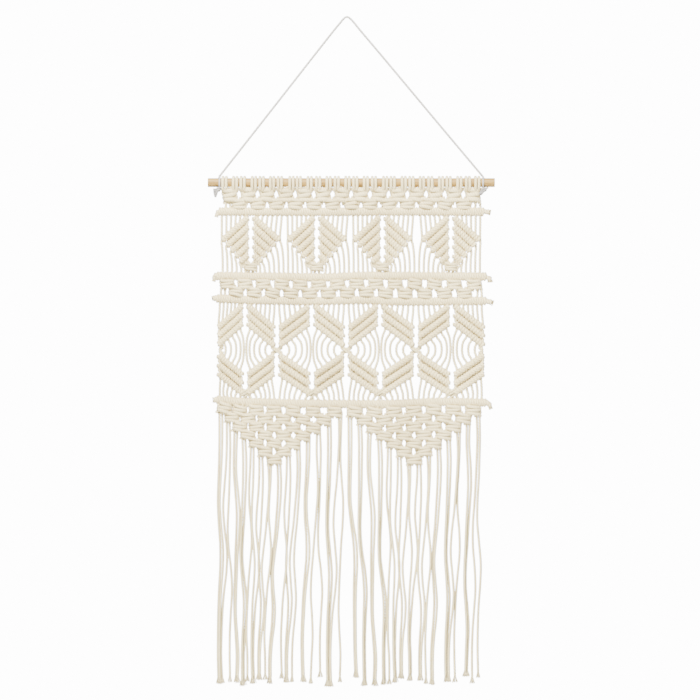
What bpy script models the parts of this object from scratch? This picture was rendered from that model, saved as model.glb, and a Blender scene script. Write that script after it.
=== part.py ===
"""Macrame wall hanging on a dowel.

The origin is the point where the hanging cord lies over its nail. The hanging
faces -Y, +X is to its right and +Z is up. All the knotwork is laid out about
the panel's own middle, a little to the right of the nail.
"""

import math
import random

import bmesh
import bpy
from mathutils import Matrix, Vector

MM = 0.001

# Rod and hanging cord
PANEL_X = 6.0 * MM
DOWEL_LENGTH = 400.0 * MM
DOWEL_RADIUS = 6.35 * MM
DOWEL_Z = -229.6 * MM
HANGING_CORD = 2.5 * MM
HANGING_SPREAD = 183.6 * MM
SEAT_GAP = 0.3 * MM
HANGING_ROUTE = (
    # X and Z in millimetres, from the left knot over the nail to the right knot
    (-176.5, -219.3),
    (-148.0, -184.1),
    (-110.0, -137.5),
    (-72.0, -91.0),
    (-42.0, -54.2),
    (-20.5, -27.8),
    (-9.5, -14.4),
    (-4.5, -7.4),
    (-3.2, -0.3),
    (0.0, 1.25),
    (3.2, -0.3),
    (4.6, -7.4),
    (10.0, -14.2),
    (21.5, -27.0),
    (44.0, -52.2),
    (77.0, -89.7),
    (117.0, -135.4),
    (157.0, -181.1),
    (190.1, -219.3),
)
ROUTE_STEPS = 2
KNOT_RING_POINTS = 16
KNOT_RING_SIDES = 1
KNOT_LUMP = 3.2 * MM
KNOT_FRAY = 1.5
HANGING_KNOTS = (
    # name, side, lump (X, Y, Z), free end's start and tip, in millimetres from the ring
    ("hanging_knot_left", -1, (-2.0, -3.0, -9.8), (0.5, -2.5, -8.5), (-8.4, -3.5, -20.5)),
    ("hanging_knot_right", 1, (1.6, -3.2, -10.4), (7.2, -3.4, -7.8), (-4.2, -8.0, -18.0)),
)

# Working cord
CORD = 3.5 * MM
HEADS = 28
STRANDS = 2 * HEADS
HEADING_WIDTH = 365.0 * MM
HEAD_WIDTH = 8.6 * MM
HEAD_SHIFT = 1.1 * MM
HEAD_CORD = 2.5 * MM
HEAD_TAB_TOP = 11.2 * MM
HEAD_TAB_FOOT = 13.4 * MM
HEAD_TAB_HALF = 1.9 * MM
CORD_CORNER = 1.9 * MM
BURY = 1.6 * MM

# Bars of double half hitches, each tied over a filler cord whose ends show
BAR_HALF_HEIGHT = 5.2 * MM
BAR_RIDGE_HALF = 5.8 * MM
BAR_VALLEY_HALF = 4.9 * MM
BAR_OVERHANG = 2.5 * MM
BAR_HEIGHTS = {
    "heading_bar": -270.2 * MM,
    "diamond_bar": -360.4 * MM,
    "leaf_bar": -394.6 * MM,
    "hem_bar": -537.0 * MM,
}
FILLER_ENDS = (
    # bar, side, how far the end reaches past the bar, how far it hangs
    ("heading_bar", -1, 4.5, 6.0),
    ("heading_bar", 1, 10.5, 0.5),
    ("diamond_bar", -1, 6.5, 6.5),
    ("diamond_bar", 1, 10.0, 4.5),
    ("leaf_bar", -1, 6.0, 1.0),
    ("leaf_bar", 1, 10.5, 3.5),
    ("hem_bar", -1, 5.5, -4.0),
    ("hem_bar", 1, 8.0, 5.5),
)
FILLER_START = 5.0 * MM
FILLER_FLARE = 1.5

# Square knots, in rows half a knot out of step with each other
KNOT_EDGE_HALF = 2.5 * MM
KNOT_CROWN_HALF = 5.2 * MM
KNOT_SIDE_HALF = 2.8 * MM
KNOT_WAIST = 1.5 * MM
KNOT_CROWN_WIDTH = 4.6 * MM
HOLE_HALF_WIDTH = 3.2 * MM
HEADING_BAND_TOP = -240.5 * MM
LEAF_BAND_WIDTH = 371.0 * MM
LEAF_BAND_CROWDING = 5.6 * MM
PANEL_SHARE_KEPT = 0.855

# Leaves: ridged plates of diagonal rows of hitches
SLIT_HALF = 3.2 * MM
ROW_RIDGE_HALF = 5.0 * MM
ROW_GROOVE_HALF = 2.4 * MM
DIAMOND_MIDDLES = (-140.0, -48.0, 43.5, 139.0)
DIAMOND_HALF_WIDTH = 41.5 * MM
DIAMOND_TOP = -271.5 * MM
DIAMOND_BOTTOM = -351.0 * MM
DIAMOND_SLOPE = 0.90
DIAMOND_ROWS = 5
DIAMOND_ROW_HEIGHT = 13.1 * MM
LEAF_EDGES = (-186.0, -148.0, -104.0, -55.0, -7.0, 40.0, 90.0, 140.0, 185.0)
LEAF_ROWS = 3
LEAF_ROW_HEIGHTS = {"upper": 12.1 * MM, "lower": 12.7 * MM}
LEAF_DROPS = {"upper": 31.0 * MM, "lower": 27.5 * MM}
LEAF_SLOPE = 0.89
LEAF_CROSSING = -463.3 * MM
LEAF_TIP_GAP = 0.7 * MM
LEAF_JOINT_RISE = 4.0 * MM
LEAF_SIDE_GAP = 2.6 * MM
STRANDS_PER_LEAF = 7
HITCHES_PER_ROW = 6
EYE_MIDDLE_HALF = 2.3 * MM
EYE_SPACING = 4.0 * MM

# Triangles and fringe
TRIANGLE_ROWS = 7
TRIANGLE_ROW_HEIGHT = 11.3 * MM
TRIANGLES = (
    # name, middle between its sides, how much its knots crowd to the left, knot spacing
    ("fringe_triangle_left", -97.3, 10.2, 25.6),
    ("fringe_triangle_right", 87.4, 0.0, 27.5),
)
FRINGE_STEPS = 4
FRINGE_ROOT_SPREAD = 2.6 * MM
FRINGE_LANE = 2.3 * MM
FRINGE_LOCK_SPREAD = 1.3 * MM
FRINGE_SWAY = 2.2 * MM
FRINGE_SEED = 7
LOCKS = {
    # strands in the lock, sideways place of its tip, height of its tip
    "fringe_triangle_left": (
        (3, -183.0, -928.5),
        (1, -169.0, -926.0),
        (2, -159.5, -927.0),
        (2, -151.0, -931.5),
        (1, -145.0, -926.0),
        (2, -137.0, -928.5),
        (2, -128.5, -923.0),
        (1, -120.0, -923.0),
        (2, -113.5, -928.5),
        (1, -97.0, -921.5),
        (2, -90.5, -927.0),
        (1, -82.5, -926.0),
        (2, -67.5, -926.0),
        (1, -56.5, -928.5),
        (1, -43.5, -920.0),
        (3, -31.0, -932.5),
        (1, -16.0, -927.0),
    ),
    "fringe_triangle_right": (
        (2, 6.5, -920.0),
        (2, 18.5, -931.5),
        (2, 32.5, -931.5),
        (2, 45.5, -930.0),
        (1, 53.0, -930.0),
        (2, 61.0, -927.0),
        (2, 69.5, -921.5),
        (2, 82.0, -924.5),
        (2, 96.0, -924.5),
        (1, 104.0, -928.5),
        (2, 112.5, -930.0),
        (3, 133.5, -926.0),
        (1, 144.5, -927.0),
        (2, 160.0, -918.5),
        (1, 168.5, -928.5),
        (1, 176.5, -920.0),
    ),
}


def clear_scene():
    """Remove every object of the startup scene."""
    for obj in list(bpy.data.objects):
        bpy.data.objects.remove(obj, do_unlink=True)


def new_collection(name):
    """Add a collection to the scene."""
    collection = bpy.data.collections.new(name)
    bpy.context.scene.collection.children.link(collection)
    return collection


def new_material(name, colour, roughness):
    """A plain, non-metallic finish."""
    material = bpy.data.materials.new(name)
    material.use_nodes = True
    shader = material.node_tree.nodes["Principled BSDF"]
    shader.inputs["Base Color"].default_value = (*colour, 1.0)
    shader.inputs["Roughness"].default_value = roughness
    shader.inputs["Metallic"].default_value = 0.0
    return material


def add_object(name, data, collection, material=None):
    """Link mesh or curve data to a collection as an object."""
    obj = bpy.data.objects.new(name, data)
    collection.objects.link(obj)
    if material is not None:
        data.materials.append(material)
    return obj


def merge_flat_faces(bm):
    """Join neighbouring faces that lie in one plane."""
    bmesh.ops.dissolve_limit(bm, angle_limit=math.radians(0.1), verts=bm.verts, edges=bm.edges)


def solid_from_curve(obj, collection):
    """Turn a curve object into a mesh whose end caps are welded to its sides."""
    bpy.context.view_layer.update()
    graph = bpy.context.evaluated_depsgraph_get()
    mesh = bpy.data.meshes.new_from_object(obj.evaluated_get(graph))
    welded = bmesh.new()
    welded.from_mesh(mesh)
    bmesh.ops.remove_doubles(welded, verts=welded.verts, dist=0.001 * MM)
    bmesh.ops.recalc_face_normals(welded, faces=welded.faces)
    merge_flat_faces(welded)
    welded.to_mesh(mesh)
    welded.free()
    solid = add_object(obj.name + "_solid", mesh, collection)
    solid.matrix_world = obj.matrix_world
    bpy.data.objects.remove(obj, do_unlink=True)
    return solid


def new_curve(name, lines, radii=None):
    """Curve data with one straight-sided spline for each list of points."""
    curve = bpy.data.curves.new(name, "CURVE")
    curve.dimensions = "3D"
    curve.use_fill_caps = True
    for line in lines:
        spline = curve.splines.new("POLY")
        spline.points.add(len(line) - 1)
        for index, (place, point) in enumerate(zip(line, spline.points)):
            point.co = (*place, 1.0)
            if radii is not None:
                point.radius = radii[index]
    return curve


def cords(name, lines, helpers):
    """Three-sided solid cords along lines of points, in one mesh."""
    section = bpy.data.curves.new(name + "_section", "CURVE")
    section.dimensions = "2D"
    edge = section.splines.new("POLY")
    edge.points.add(2)
    edge.use_cyclic_u = True
    for index, point in enumerate(edge.points):
        turn = math.tau * index / 3
        point.co = (CORD_CORNER * math.cos(turn), CORD_CORNER * math.sin(turn), 0.0, 1.0)
    guide = add_object(name + "_section", section, helpers)
    curve = new_curve(name, lines)
    curve.bevel_mode = "OBJECT"
    curve.bevel_object = guide
    solid = solid_from_curve(add_object(name, curve, helpers), helpers)
    bpy.data.objects.remove(guide, do_unlink=True)
    return solid


def extruded_outline(name, outlines, thickness, helpers):
    """A flat outline, with any holes, as a slab square to the X axis."""
    curve = bpy.data.curves.new(name, "CURVE")
    curve.dimensions = "2D"
    curve.fill_mode = "BOTH"
    curve.extrude = thickness / 2
    for outline in outlines:
        spline = curve.splines.new("POLY")
        spline.use_cyclic_u = True
        spline.points.add(len(outline) - 1)
        for (y, z), point in zip(outline, spline.points):
            point.co = (y, z, 0.0, 1.0)
    obj = add_object(name, curve, helpers)
    # The outline's own X and Y become the world's Y and Z.
    obj.matrix_world = Matrix(((0, 0, 1, 0), (1, 0, 0, 0), (0, 1, 0, 0), (0, 0, 0, 1)))
    return obj


def bar_top(name):
    """Height of a bar's upper edge."""
    return BAR_HEIGHTS[name] + BAR_HALF_HEIGHT


def bar_foot(name):
    """Height of a bar's lower edge."""
    return BAR_HEIGHTS[name] - BAR_HALF_HEIGHT


def ring_of_points(count, clearance):
    """Corners of a regular outline whose flats lie at a distance from its middle."""
    corner = clearance / math.cos(math.pi / count)
    turns = [math.tau * index / count for index in range(count)]
    return [(corner * math.cos(turn), corner * math.sin(turn)) for turn in turns]


def head_outline():
    """Side view of a loop over the rod that narrows to a tab below it."""
    bore = ring_of_points(6, DOWEL_RADIUS + SEAT_GAP)
    outside = ring_of_points(6, DOWEL_RADIUS + SEAT_GAP + HEAD_CORD)
    upper = [(y, z) for y, z in outside if z > -MM]
    tab = [(-HEAD_TAB_HALF, -HEAD_TAB_TOP), (-HEAD_TAB_HALF, -HEAD_TAB_FOOT)]
    tab += [(-y, z) for y, z in reversed(tab)]
    upper.sort(key=lambda place: place[0], reverse=True)
    return [[(y, z + DOWEL_Z) for y, z in line] for line in (upper + tab, bore)]


def heading(helpers):
    """The lark's heads: a row of loops over the rod, those over one knot a little apart."""
    pieces = []
    for index in range(HEADS):
        loop = extruded_outline(f"head_{index}", head_outline(), HEAD_WIDTH, helpers)
        side = -1 if index % 2 == 0 else 1
        place = (index + 0.5) * HEADING_WIDTH / HEADS - HEADING_WIDTH / 2
        loop.matrix_world.translation.x = place + side * HEAD_SHIFT
        pieces.append(solid_from_curve(loop, helpers))
    return pieces


def filler_ends(helpers):
    """The ends of the bars' filler cords, which hang a little and are frayed wider at the tip."""
    pieces = []
    for number, (bar, side, reach, drop) in enumerate(FILLER_ENDS):
        width = HEADING_WIDTH if bar == "heading_bar" else LEAF_BAND_WIDTH
        start = side * (width / 2 + BAR_OVERHANG)
        height = BAR_HEIGHTS[bar]
        line = [
            (start - side * FILLER_START, 0, height),
            (start + side * reach * MM * 0.45, 0, height - drop * MM * 0.25),
            (start + side * reach * MM, 0, height - drop * MM),
        ]
        curve = new_curve(f"filler_end_{number}", [line], (1.0, 1.0, FILLER_FLARE))
        curve.bevel_depth = CORD / 2
        curve.bevel_resolution = 0
        pieces.append(solid_from_curve(add_object(curve.name, curve, helpers), helpers))
    return pieces


def knot_field(name, rows, width, middle, top, helpers, crowding=0.0):
    """A plate of rows of alternating square knots and of bars.

    Each row is its number of knots, or None for a bar, and its height. The grid
    has two upright lines at each half-knot step, and a level at each row's
    top, waist and foot. The cell between two knots of a row is left open.
    """
    widest = HEADS // 2 if rows[0][0] is None else max(count for count, _ in rows if count)
    lines = 4 * widest
    levels = 2 * len(rows) + 1
    bm = bmesh.new()
    bmesh.ops.create_grid(bm, x_segments=lines - 1, y_segments=levels - 1, size=1.0)
    grid_place = {}
    for vert in bm.verts:
        line = round((vert.co.x + 1) / 2 * (lines - 1))
        level = round((1 - vert.co.y) / 2 * (levels - 1))
        grid_place[vert] = (line, level)
    open_cells = [face for face in bm.faces if not is_knotted(face, grid_place, rows, widest)]
    bmesh.ops.delete(bm, geom=open_cells, context="FACES")
    for vert in bm.verts:
        line, level = grid_place[vert]
        x, half = grid_vertex(line, level, rows, widest, width, crowding)
        vert.co = (middle + x, half, top - level_drop(level, rows))
    extruded = bmesh.ops.extrude_face_region(bm, geom=list(bm.faces), use_keep_orig=True)
    for item in extruded["geom"]:
        if isinstance(item, bmesh.types.BMVert):
            item.co.y = -item.co.y
    bmesh.ops.recalc_face_normals(bm, faces=bm.faces)
    merge_flat_faces(bm)
    mesh = bpy.data.meshes.new(name)
    bm.to_mesh(mesh)
    bm.free()
    return add_object(name, mesh, helpers)


def crowded(place, crowding):
    """How far a point of a row moves as its knots crowd to the left, from its place between -1 and 1."""
    return crowding * (place**2 - 1)


def level_drop(level, rows):
    """How far below the field's top a level of its grid lies."""
    passed = sum(height for _, height in rows[: level // 2])
    return passed + (rows[level // 2][1] / 2 if level % 2 else 0.0)


def is_knotted(face, grid_place, rows, widest):
    """Whether a cell of the grid belongs to a knot or a bar, and not to a hole or the outside."""
    lines, levels = zip(*(grid_place[vert] for vert in face.verts))
    count = rows[min(levels) // 2][0]
    line = min(lines)
    step = (line + 1) // 2 - widest
    if count is None:
        return True
    if line % 2 == 0:
        return -count <= step <= count - 1
    return abs(step) <= count - 1 and (step - count + 1) % 2 == 0


def grid_vertex(line, level, rows, widest, width, crowding):
    """How far from the middle a grid point lies, and half the plate's thickness there."""
    step = (line + 1) // 2 - widest
    side = 1 if line % 2 == 0 else -1
    place = step * width / (2 * widest) + crowded(step / widest, crowding)
    beside = [rows[index][0] for index in {(level - 1) // 2, level // 2} if 0 <= index < len(rows)]
    if not any(beside):
        share = line / (4 * widest - 1) - 0.5
        if level % 2 == 0:
            half = KNOT_EDGE_HALF
        else:
            half = BAR_RIDGE_HALF if line % 2 else BAR_VALLEY_HALF
        return share * (width + 2 * BAR_OVERHANG), half
    if level % 2 == 0:
        return place + side * KNOT_WAIST, KNOT_EDGE_HALF
    if (step - beside[0] + 1) % 2 == 0:
        return place + side * KNOT_CROWN_WIDTH, KNOT_CROWN_HALF
    return place + side * HOLE_HALF_WIDTH, KNOT_SIDE_HALF


def ridge_profile(levels):
    """Side view of stacked rows: a groove at each level and a ridge between."""
    front = []
    for high, low in zip(levels, levels[1:]):
        front += [(ROW_GROOVE_HALF, high), (ROW_RIDGE_HALF, (high + low) / 2)]
    front.append((ROW_GROOVE_HALF, levels[-1]))
    return [(-y, z) for y, z in front] + [(y, z) for y, z in reversed(front)]


def leaf(name, profile, inner, far_end, helpers):
    """A ridged plate drawn from its profile at the inner edge to its other end."""
    bm = bmesh.new()
    near = [bm.verts.new((inner, y, z)) for y, z in profile]
    face = bm.faces.new(near)
    drawn = bmesh.ops.extrude_face_region(bm, geom=[face], use_keep_orig=True)
    for item in drawn["geom"]:
        if isinstance(item, bmesh.types.BMVert):
            item.co.x, item.co.z = far_end(item.co.z)
    bmesh.ops.recalc_face_normals(bm, faces=bm.faces)
    mesh = bpy.data.meshes.new(name)
    bm.to_mesh(mesh)
    bm.free()
    return add_object(name, mesh, helpers)


def diamond_run(height):
    """How far out a row that starts at a height runs before the lower outer edge."""
    lower_slope = (DIAMOND_TOP - DIAMOND_BOTTOM) / (DIAMOND_HALF_WIDTH - SLIT_HALF) - DIAMOND_SLOPE
    return (height - DIAMOND_BOTTOM) / (DIAMOND_SLOPE + lower_slope)


def diamonds(helpers):
    """Four diamonds, each of two leaves whose rows get shorter downwards."""
    pieces = []
    levels = [DIAMOND_TOP - row * DIAMOND_ROW_HEIGHT for row in range(DIAMOND_ROWS + 1)]
    for number, middle in enumerate(DIAMOND_MIDDLES):
        for side in (-1, 1):
            inner = middle * MM + side * SLIT_HALF

            def far_end(height, inner=inner, side=side):
                run = diamond_run(height)
                return inner + side * run, height - DIAMOND_SLOPE * run

            name = f"diamond_{number}_{'left' if side < 0 else 'right'}"
            pieces.append(leaf(name, ridge_profile(levels), inner, far_end, helpers))
    return pieces


def diamond_strands():
    """The strands above and below the diamonds' leaves."""
    above = bar_foot("heading_bar") + BURY
    below = bar_top("diamond_bar") - BURY
    spacing = HEADING_WIDTH / STRANDS
    hitch = (DIAMOND_HALF_WIDTH - SLIT_HALF) / HITCHES_PER_ROW
    lines = []
    for number, middle in enumerate(DIAMOND_MIDDLES):
        section = (number - 1.5) * HEADING_WIDTH / 4
        for side in (-1, 1):
            for strand in range(2, STRANDS_PER_LEAF):
                run = (strand - 0.5) * hitch
                start = section + side * (strand + 0.5) * spacing
                end = middle * MM + side * (SLIT_HALF + run)
                foot = DIAMOND_TOP - DIAMOND_SLOPE * run
                lines.append([(start, 0, above), (end, 0, foot - BURY)])
            for row in range(DIAMOND_ROWS + 1):
                height = DIAMOND_TOP - min(row + 0.5, DIAMOND_ROWS) * DIAMOND_ROW_HEIGHT
                run = diamond_run(height)
                out = middle * MM + side * (SLIT_HALF + run)
                end = section + side * (STRANDS_PER_LEAF - row - 0.5) * spacing
                edge = height - DIAMOND_SLOPE * run
                lines.append([(out - side * BURY, 0, edge + BURY), (end, 0, below)])
            lines.append(tip_strand(middle * MM, side, below))
    return lines


def tip_strand(slit, side, below):
    """The innermost strand of a diamond's leaf, which crosses under the slit to the other side."""
    tip = DIAMOND_TOP - DIAMOND_ROWS * DIAMOND_ROW_HEIGHT + BURY
    return [(slit + side * (SLIT_HALF + BURY), 0, tip), (slit - side * SLIT_HALF, 0, below)]


def joint(slit, height):
    """The cord that ties a leaf to the one across the slit."""
    reach = SLIT_HALF + BURY
    return [(slit - reach, 0, height), (slit + reach, 0, height)]


def leaf_spans():
    """Each leaf column as its slit, its crossing and the way from one to the other."""
    spans = []
    for column in range(len(LEAF_EDGES) - 1):
        low, high = LEAF_EDGES[column] * MM, LEAF_EDGES[column + 1] * MM
        spans.append((high, low, -1) if column % 2 == 0 else (low, high, 1))
    return spans


def leaf_levels(half):
    """Heights of a leaf's rows at its inner edge."""
    rows = [row * LEAF_ROW_HEIGHTS[half] for row in range(LEAF_ROWS + 1)]
    if half == "lower":
        return [LEAF_CROSSING - LEAF_TIP_GAP - LEAF_DROPS[half] - row for row in rows]
    return [LEAF_CROSSING + LEAF_TIP_GAP + LEAF_DROPS[half] + rows[-1] - row for row in rows]


def leaf_fall(half, width):
    """How far a leaf's rows rise or fall from the slit to the crossing, less in a narrow column."""
    return min(LEAF_DROPS[half], LEAF_SLOPE * width)


def leaves(helpers):
    """Eight upper leaves that fall away from the slits and eight lower ones that fall towards them."""
    pieces = []
    for column, (slit, crossing, side) in enumerate(leaf_spans()):
        inner = slit + side * SLIT_HALF
        outer = crossing - side * LEAF_SIDE_GAP
        for half, way in (("upper", -1), ("lower", 1)):
            climb = way * leaf_fall(half, abs(outer - inner))

            def far_end(height, outer=outer, climb=climb):
                return outer, height + climb

            name = f"leaf_{column}_{half}"
            pieces.append(leaf(name, ridge_profile(leaf_levels(half)), inner, far_end, helpers))
    return pieces


def leaf_strands():
    """The strands above, between and below the leaves."""
    above = bar_foot("leaf_bar") + BURY
    below = bar_top("hem_bar") - BURY
    upper = leaf_levels("upper")
    lower = leaf_levels("lower")
    lines = []
    for slit, crossing, side in leaf_spans():
        spacing = abs(crossing - slit) / STRANDS_PER_LEAF
        width = abs(crossing - slit) - SLIT_HALF - LEAF_SIDE_GAP
        for strand in range(1, STRANDS_PER_LEAF):
            share = (strand - 0.5) / HITCHES_PER_ROW
            at_leaf = slit + side * (SLIT_HALF + width * share)
            at_bar = slit + side * (strand + 0.5) * spacing
            fall = leaf_fall("upper", width) * share
            climb = leaf_fall("lower", width) * share
            if strand > 2:
                lines.append([(at_bar, 0, above), (at_leaf, 0, upper[0] - fall - BURY)])
            if strand > 1:
                lines.append([(at_leaf, 0, lower[-1] + climb + BURY), (at_bar, 0, below)])
            if strand < HITCHES_PER_ROW:
                middle = eye_reach(abs(at_leaf - slit), abs(crossing - slit), strand)
                lines.append(eye_strand(at_leaf, slit + side * middle, upper[-1] - fall, lower[0] + climb))
        lines += crossing_strands(crossing, side)
        if side < 0:
            lines.append(joint(slit, lower[-1] + LEAF_JOINT_RISE))
    return lines


def eye_reach(reach, widest, strand):
    """How far from the slit's line a strand passes at half height, drawn in but not on its neighbour."""
    return max(reach * reach / widest, EYE_MIDDLE_HALF + (strand - 1) * EYE_SPACING)


def eye_strand(at_leaf, drawn_in, high, low):
    """A strand from an upper leaf to the lower one, drawn in towards the slit's line between them."""
    fall = low - high
    return [
        (at_leaf, 0, high + BURY),
        (drawn_in, 0, high + 0.32 * fall),
        (drawn_in, 0, high + 0.68 * fall),
        (at_leaf, 0, low - BURY),
    ]


def crossing_strands(crossing, side):
    """The end of a leaf's holding cord, which crosses to the leaf on the other side."""
    inside = LEAF_SIDE_GAP + 3 * BURY
    high = LEAF_CROSSING + 4 * BURY + LEAF_TIP_GAP
    low = LEAF_CROSSING - 4 * BURY - LEAF_TIP_GAP
    if abs(crossing) > abs(LEAF_EDGES[-1] * MM) - CORD:
        return [[(crossing - side * inside, 0, high), (crossing - side * inside, 0, low)]]
    return [[(crossing - side * inside, 0, high), (crossing + side * inside, 0, low)]]


def side_strands():
    """The two strands at each side that pass a band's second row of knots."""
    lines = []
    bands = (
        (HEADING_WIDTH, HEADING_BAND_TOP, bar_top("heading_bar")),
        (LEAF_BAND_WIDTH, bar_foot("diamond_bar"), bar_top("leaf_bar")),
    )
    for width, top, foot in bands:
        waist = (top + foot) / 2
        for side in (-1, 1):
            middle = side * (width / 2 - width / HEADS / 2)
            for offset in (-FRINGE_ROOT_SPREAD, FRINGE_ROOT_SPREAD):
                lines.append([(middle + offset, 0, waist + BURY), (middle + offset, 0, foot - BURY)])
    return lines


def united(name, pieces, collection, material):
    """One closed solid of overlapping pieces."""
    group = bpy.data.collections.new(name + "_pieces")
    for piece in pieces[1:]:
        group.objects.link(piece)
    union = pieces[0].modifiers.new("union", "BOOLEAN")
    union.operation = "UNION"
    union.operand_type = "COLLECTION"
    union.collection = group
    union.solver = "EXACT"
    union.use_self = True
    bpy.context.view_layer.update()
    graph = bpy.context.evaluated_depsgraph_get()
    mesh = bpy.data.meshes.new_from_object(pieces[0].evaluated_get(graph))
    mesh.name = name
    mesh.materials.clear()
    merged = bmesh.new()
    merged.from_mesh(mesh)
    merge_flat_faces(merged)
    merged.to_mesh(mesh)
    merged.free()
    result = add_object(name, mesh, collection, material)
    result.location.x = PANEL_X
    for piece in pieces:
        bpy.data.objects.remove(piece, do_unlink=True)
    bpy.data.collections.remove(group)
    return result


def knotted_panel(collection, helpers, material):
    """The cloth from the heads on the rod down to the hem bar."""
    knots = HEADS // 2
    bar = (None, 2 * BAR_HALF_HEIGHT)
    row = (HEADING_BAND_TOP - bar_top("heading_bar")) / 2
    rows = ((knots, row), (knots - 1, row), bar)
    pieces = [knot_field("heading_band", rows, HEADING_WIDTH, 0.0, HEADING_BAND_TOP, helpers)]
    row = (bar_foot("diamond_bar") - bar_top("leaf_bar")) / 2
    rows = (bar, (knots, row), (knots - 1, row), bar)
    top = bar_top("diamond_bar")
    pieces.append(knot_field("leaf_band", rows, LEAF_BAND_WIDTH, 0.0, top, helpers, LEAF_BAND_CROWDING))
    pieces.append(knot_field("hem", (bar,), LEAF_BAND_WIDTH, 0.0, bar_top("hem_bar"), helpers))
    pieces += filler_ends(helpers)
    pieces += heading(helpers)
    pieces += diamonds(helpers)
    pieces += leaves(helpers)
    pieces.append(cords("strands", diamond_strands() + leaf_strands() + side_strands(), helpers))
    panel = united("knotted_panel", pieces, collection, material)
    # The union leaves spare points along its straight edges, and these collapse first.
    thinning = panel.modifiers.new("spare_points", "DECIMATE")
    thinning.ratio = PANEL_SHARE_KEPT
    return panel


def fringe_roots(middle, crowding, spacing, top):
    """Where the strands leave a triangle, from left to right, two at each half knot."""
    roots = []
    for pair in range(2 * TRIANGLE_ROWS):
        step = pair - TRIANGLE_ROWS + 0.5
        row = TRIANGLE_ROWS - math.floor(abs(step))
        height = top - row * TRIANGLE_ROW_HEIGHT
        place = middle + step * spacing / 2 + crowded(step / TRIANGLE_ROWS, crowding)
        roots += [(place - FRINGE_ROOT_SPREAD, height), (place + FRINGE_ROOT_SPREAD, height)]
    return roots


def fringe_lines(name, middle, crowding, spacing, top):
    """The hanging strands, each swaying a little on its way to the tip of its lock."""
    chance = random.Random(FRINGE_SEED)
    roots = iter(fringe_roots(middle, crowding, spacing, top))
    lines = []
    for lock, (strands, tip, tip_height) in enumerate(LOCKS[name]):
        phase = chance.uniform(0.0, math.tau)
        for strand in range(strands):
            root, height = next(roots)
            place = strand - (strands - 1) / 2
            end = tip * MM + 2 * place * FRINGE_LOCK_SPREAD
            lane = FRINGE_LANE * (1 if (strand + lock) % 2 == 0 else -1)
            line = [(root, 0, height + BURY)]
            for step in range(1, FRINGE_STEPS + 1):
                share = step / FRINGE_STEPS
                ease = share * share * (3 - 2 * share)
                sway = FRINGE_SWAY * math.sin(math.pi * share) * math.sin(math.tau * 1.6 * share + phase)
                x = root + (end - root) * ease + sway
                line.append((x, lane, height + (tip_height * MM - height) * share))
            lines.append(line)
    return lines


def fringe_triangle(name, middle, crowding, spacing, collection, helpers, material):
    """A V of square knots in narrowing rows, with its hanging strands."""
    top = bar_foot("hem_bar") - SEAT_GAP
    rows = [(count, TRIANGLE_ROW_HEIGHT) for count in range(TRIANGLE_ROWS, 0, -1)]
    width = TRIANGLE_ROWS * spacing
    field = knot_field(name + "_knots", rows, width, middle, top, helpers, crowding)
    strands = cords(name + "_strands", fringe_lines(name, middle, crowding, spacing, top), helpers)
    return united(name, [field, strands], collection, material)


def smooth_route(points):
    """Points along a smooth curve through the route's own points."""
    ends = [2 * points[0] - points[1], *points, 2 * points[-1] - points[-2]]
    smooth = []
    for before, start, end, after in zip(ends, ends[1:], ends[2:], ends[3:]):
        length = (end - start).length
        leaving = (end - before) / ((start - before).length + length) * length
        arriving = (after - start) / ((after - end).length + length) * length
        for step in range(ROUTE_STEPS):
            share = step / ROUTE_STEPS
            square, cube = share**2, share**3
            smooth.append(
                (2 * cube - 3 * square + 1) * start
                + (cube - 2 * square + share) * leaving
                + (3 * square - 2 * cube) * end
                + (cube - square) * arriving
            )
    return smooth + [points[-1]]


def hanging_cord(collection, material):
    """The cord from one knot on the rod over the nail to the other."""
    route = smooth_route([Vector((x, 0.0, z)) * MM for x, z in HANGING_ROUTE])
    curve = new_curve("hanging_cord", [route])
    curve.bevel_depth = HANGING_CORD / 2
    curve.bevel_resolution = 2
    return add_object("hanging_cord", curve, collection, material)


def hanging_knot(name, side, places, collection, helpers, material):
    """A turn of the hanging cord round the rod, its hitch and its free end."""
    middle = Vector((side * HANGING_SPREAD, 0.0, DOWEL_Z))
    radius = (DOWEL_RADIUS + SEAT_GAP + HANGING_CORD / 2) / math.cos(math.pi / KNOT_RING_POINTS)
    turns = [math.tau * index / KNOT_RING_POINTS for index in range(KNOT_RING_POINTS)]
    circle = [Vector((0.0, radius * math.cos(turn), radius * math.sin(turn))) for turn in turns]
    ring = new_curve(name + "_ring", [[middle + place for place in circle]])
    ring.splines[0].use_cyclic_u = True
    lump, start, tip = (middle + Vector(place) * MM for place in places)
    end = new_curve(name + "_end", [[start, lump, tip]], (1.0, 1.0, KNOT_FRAY))
    pieces = []
    for curve in (ring, end):
        curve.bevel_depth = HANGING_CORD / 2
        curve.bevel_resolution = KNOT_RING_SIDES
        pieces.append(solid_from_curve(add_object(curve.name, curve, helpers), helpers))
    bm = bmesh.new()
    bmesh.ops.create_icosphere(bm, subdivisions=2, radius=KNOT_LUMP, matrix=Matrix.Translation(lump))
    mesh = bpy.data.meshes.new(name + "_lump")
    bm.to_mesh(mesh)
    bm.free()
    pieces.append(add_object(mesh.name, mesh, helpers))
    return united(name, pieces, collection, material)


def dowel(collection, material):
    """The wooden rod."""
    bm = bmesh.new()
    turn = Matrix.Rotation(math.pi / 2, 4, "Y")
    bmesh.ops.create_cone(
        bm,
        cap_ends=True,
        segments=24,
        radius1=DOWEL_RADIUS,
        radius2=DOWEL_RADIUS,
        depth=DOWEL_LENGTH,
        matrix=turn,
    )
    mesh = bpy.data.meshes.new("dowel")
    bm.to_mesh(mesh)
    bm.free()
    mesh.shade_smooth()
    mesh.set_sharp_from_angle(angle=math.radians(30))
    obj = add_object("dowel", mesh, collection, material)
    obj.location = (PANEL_X, 0.0, DOWEL_Z)


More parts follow.
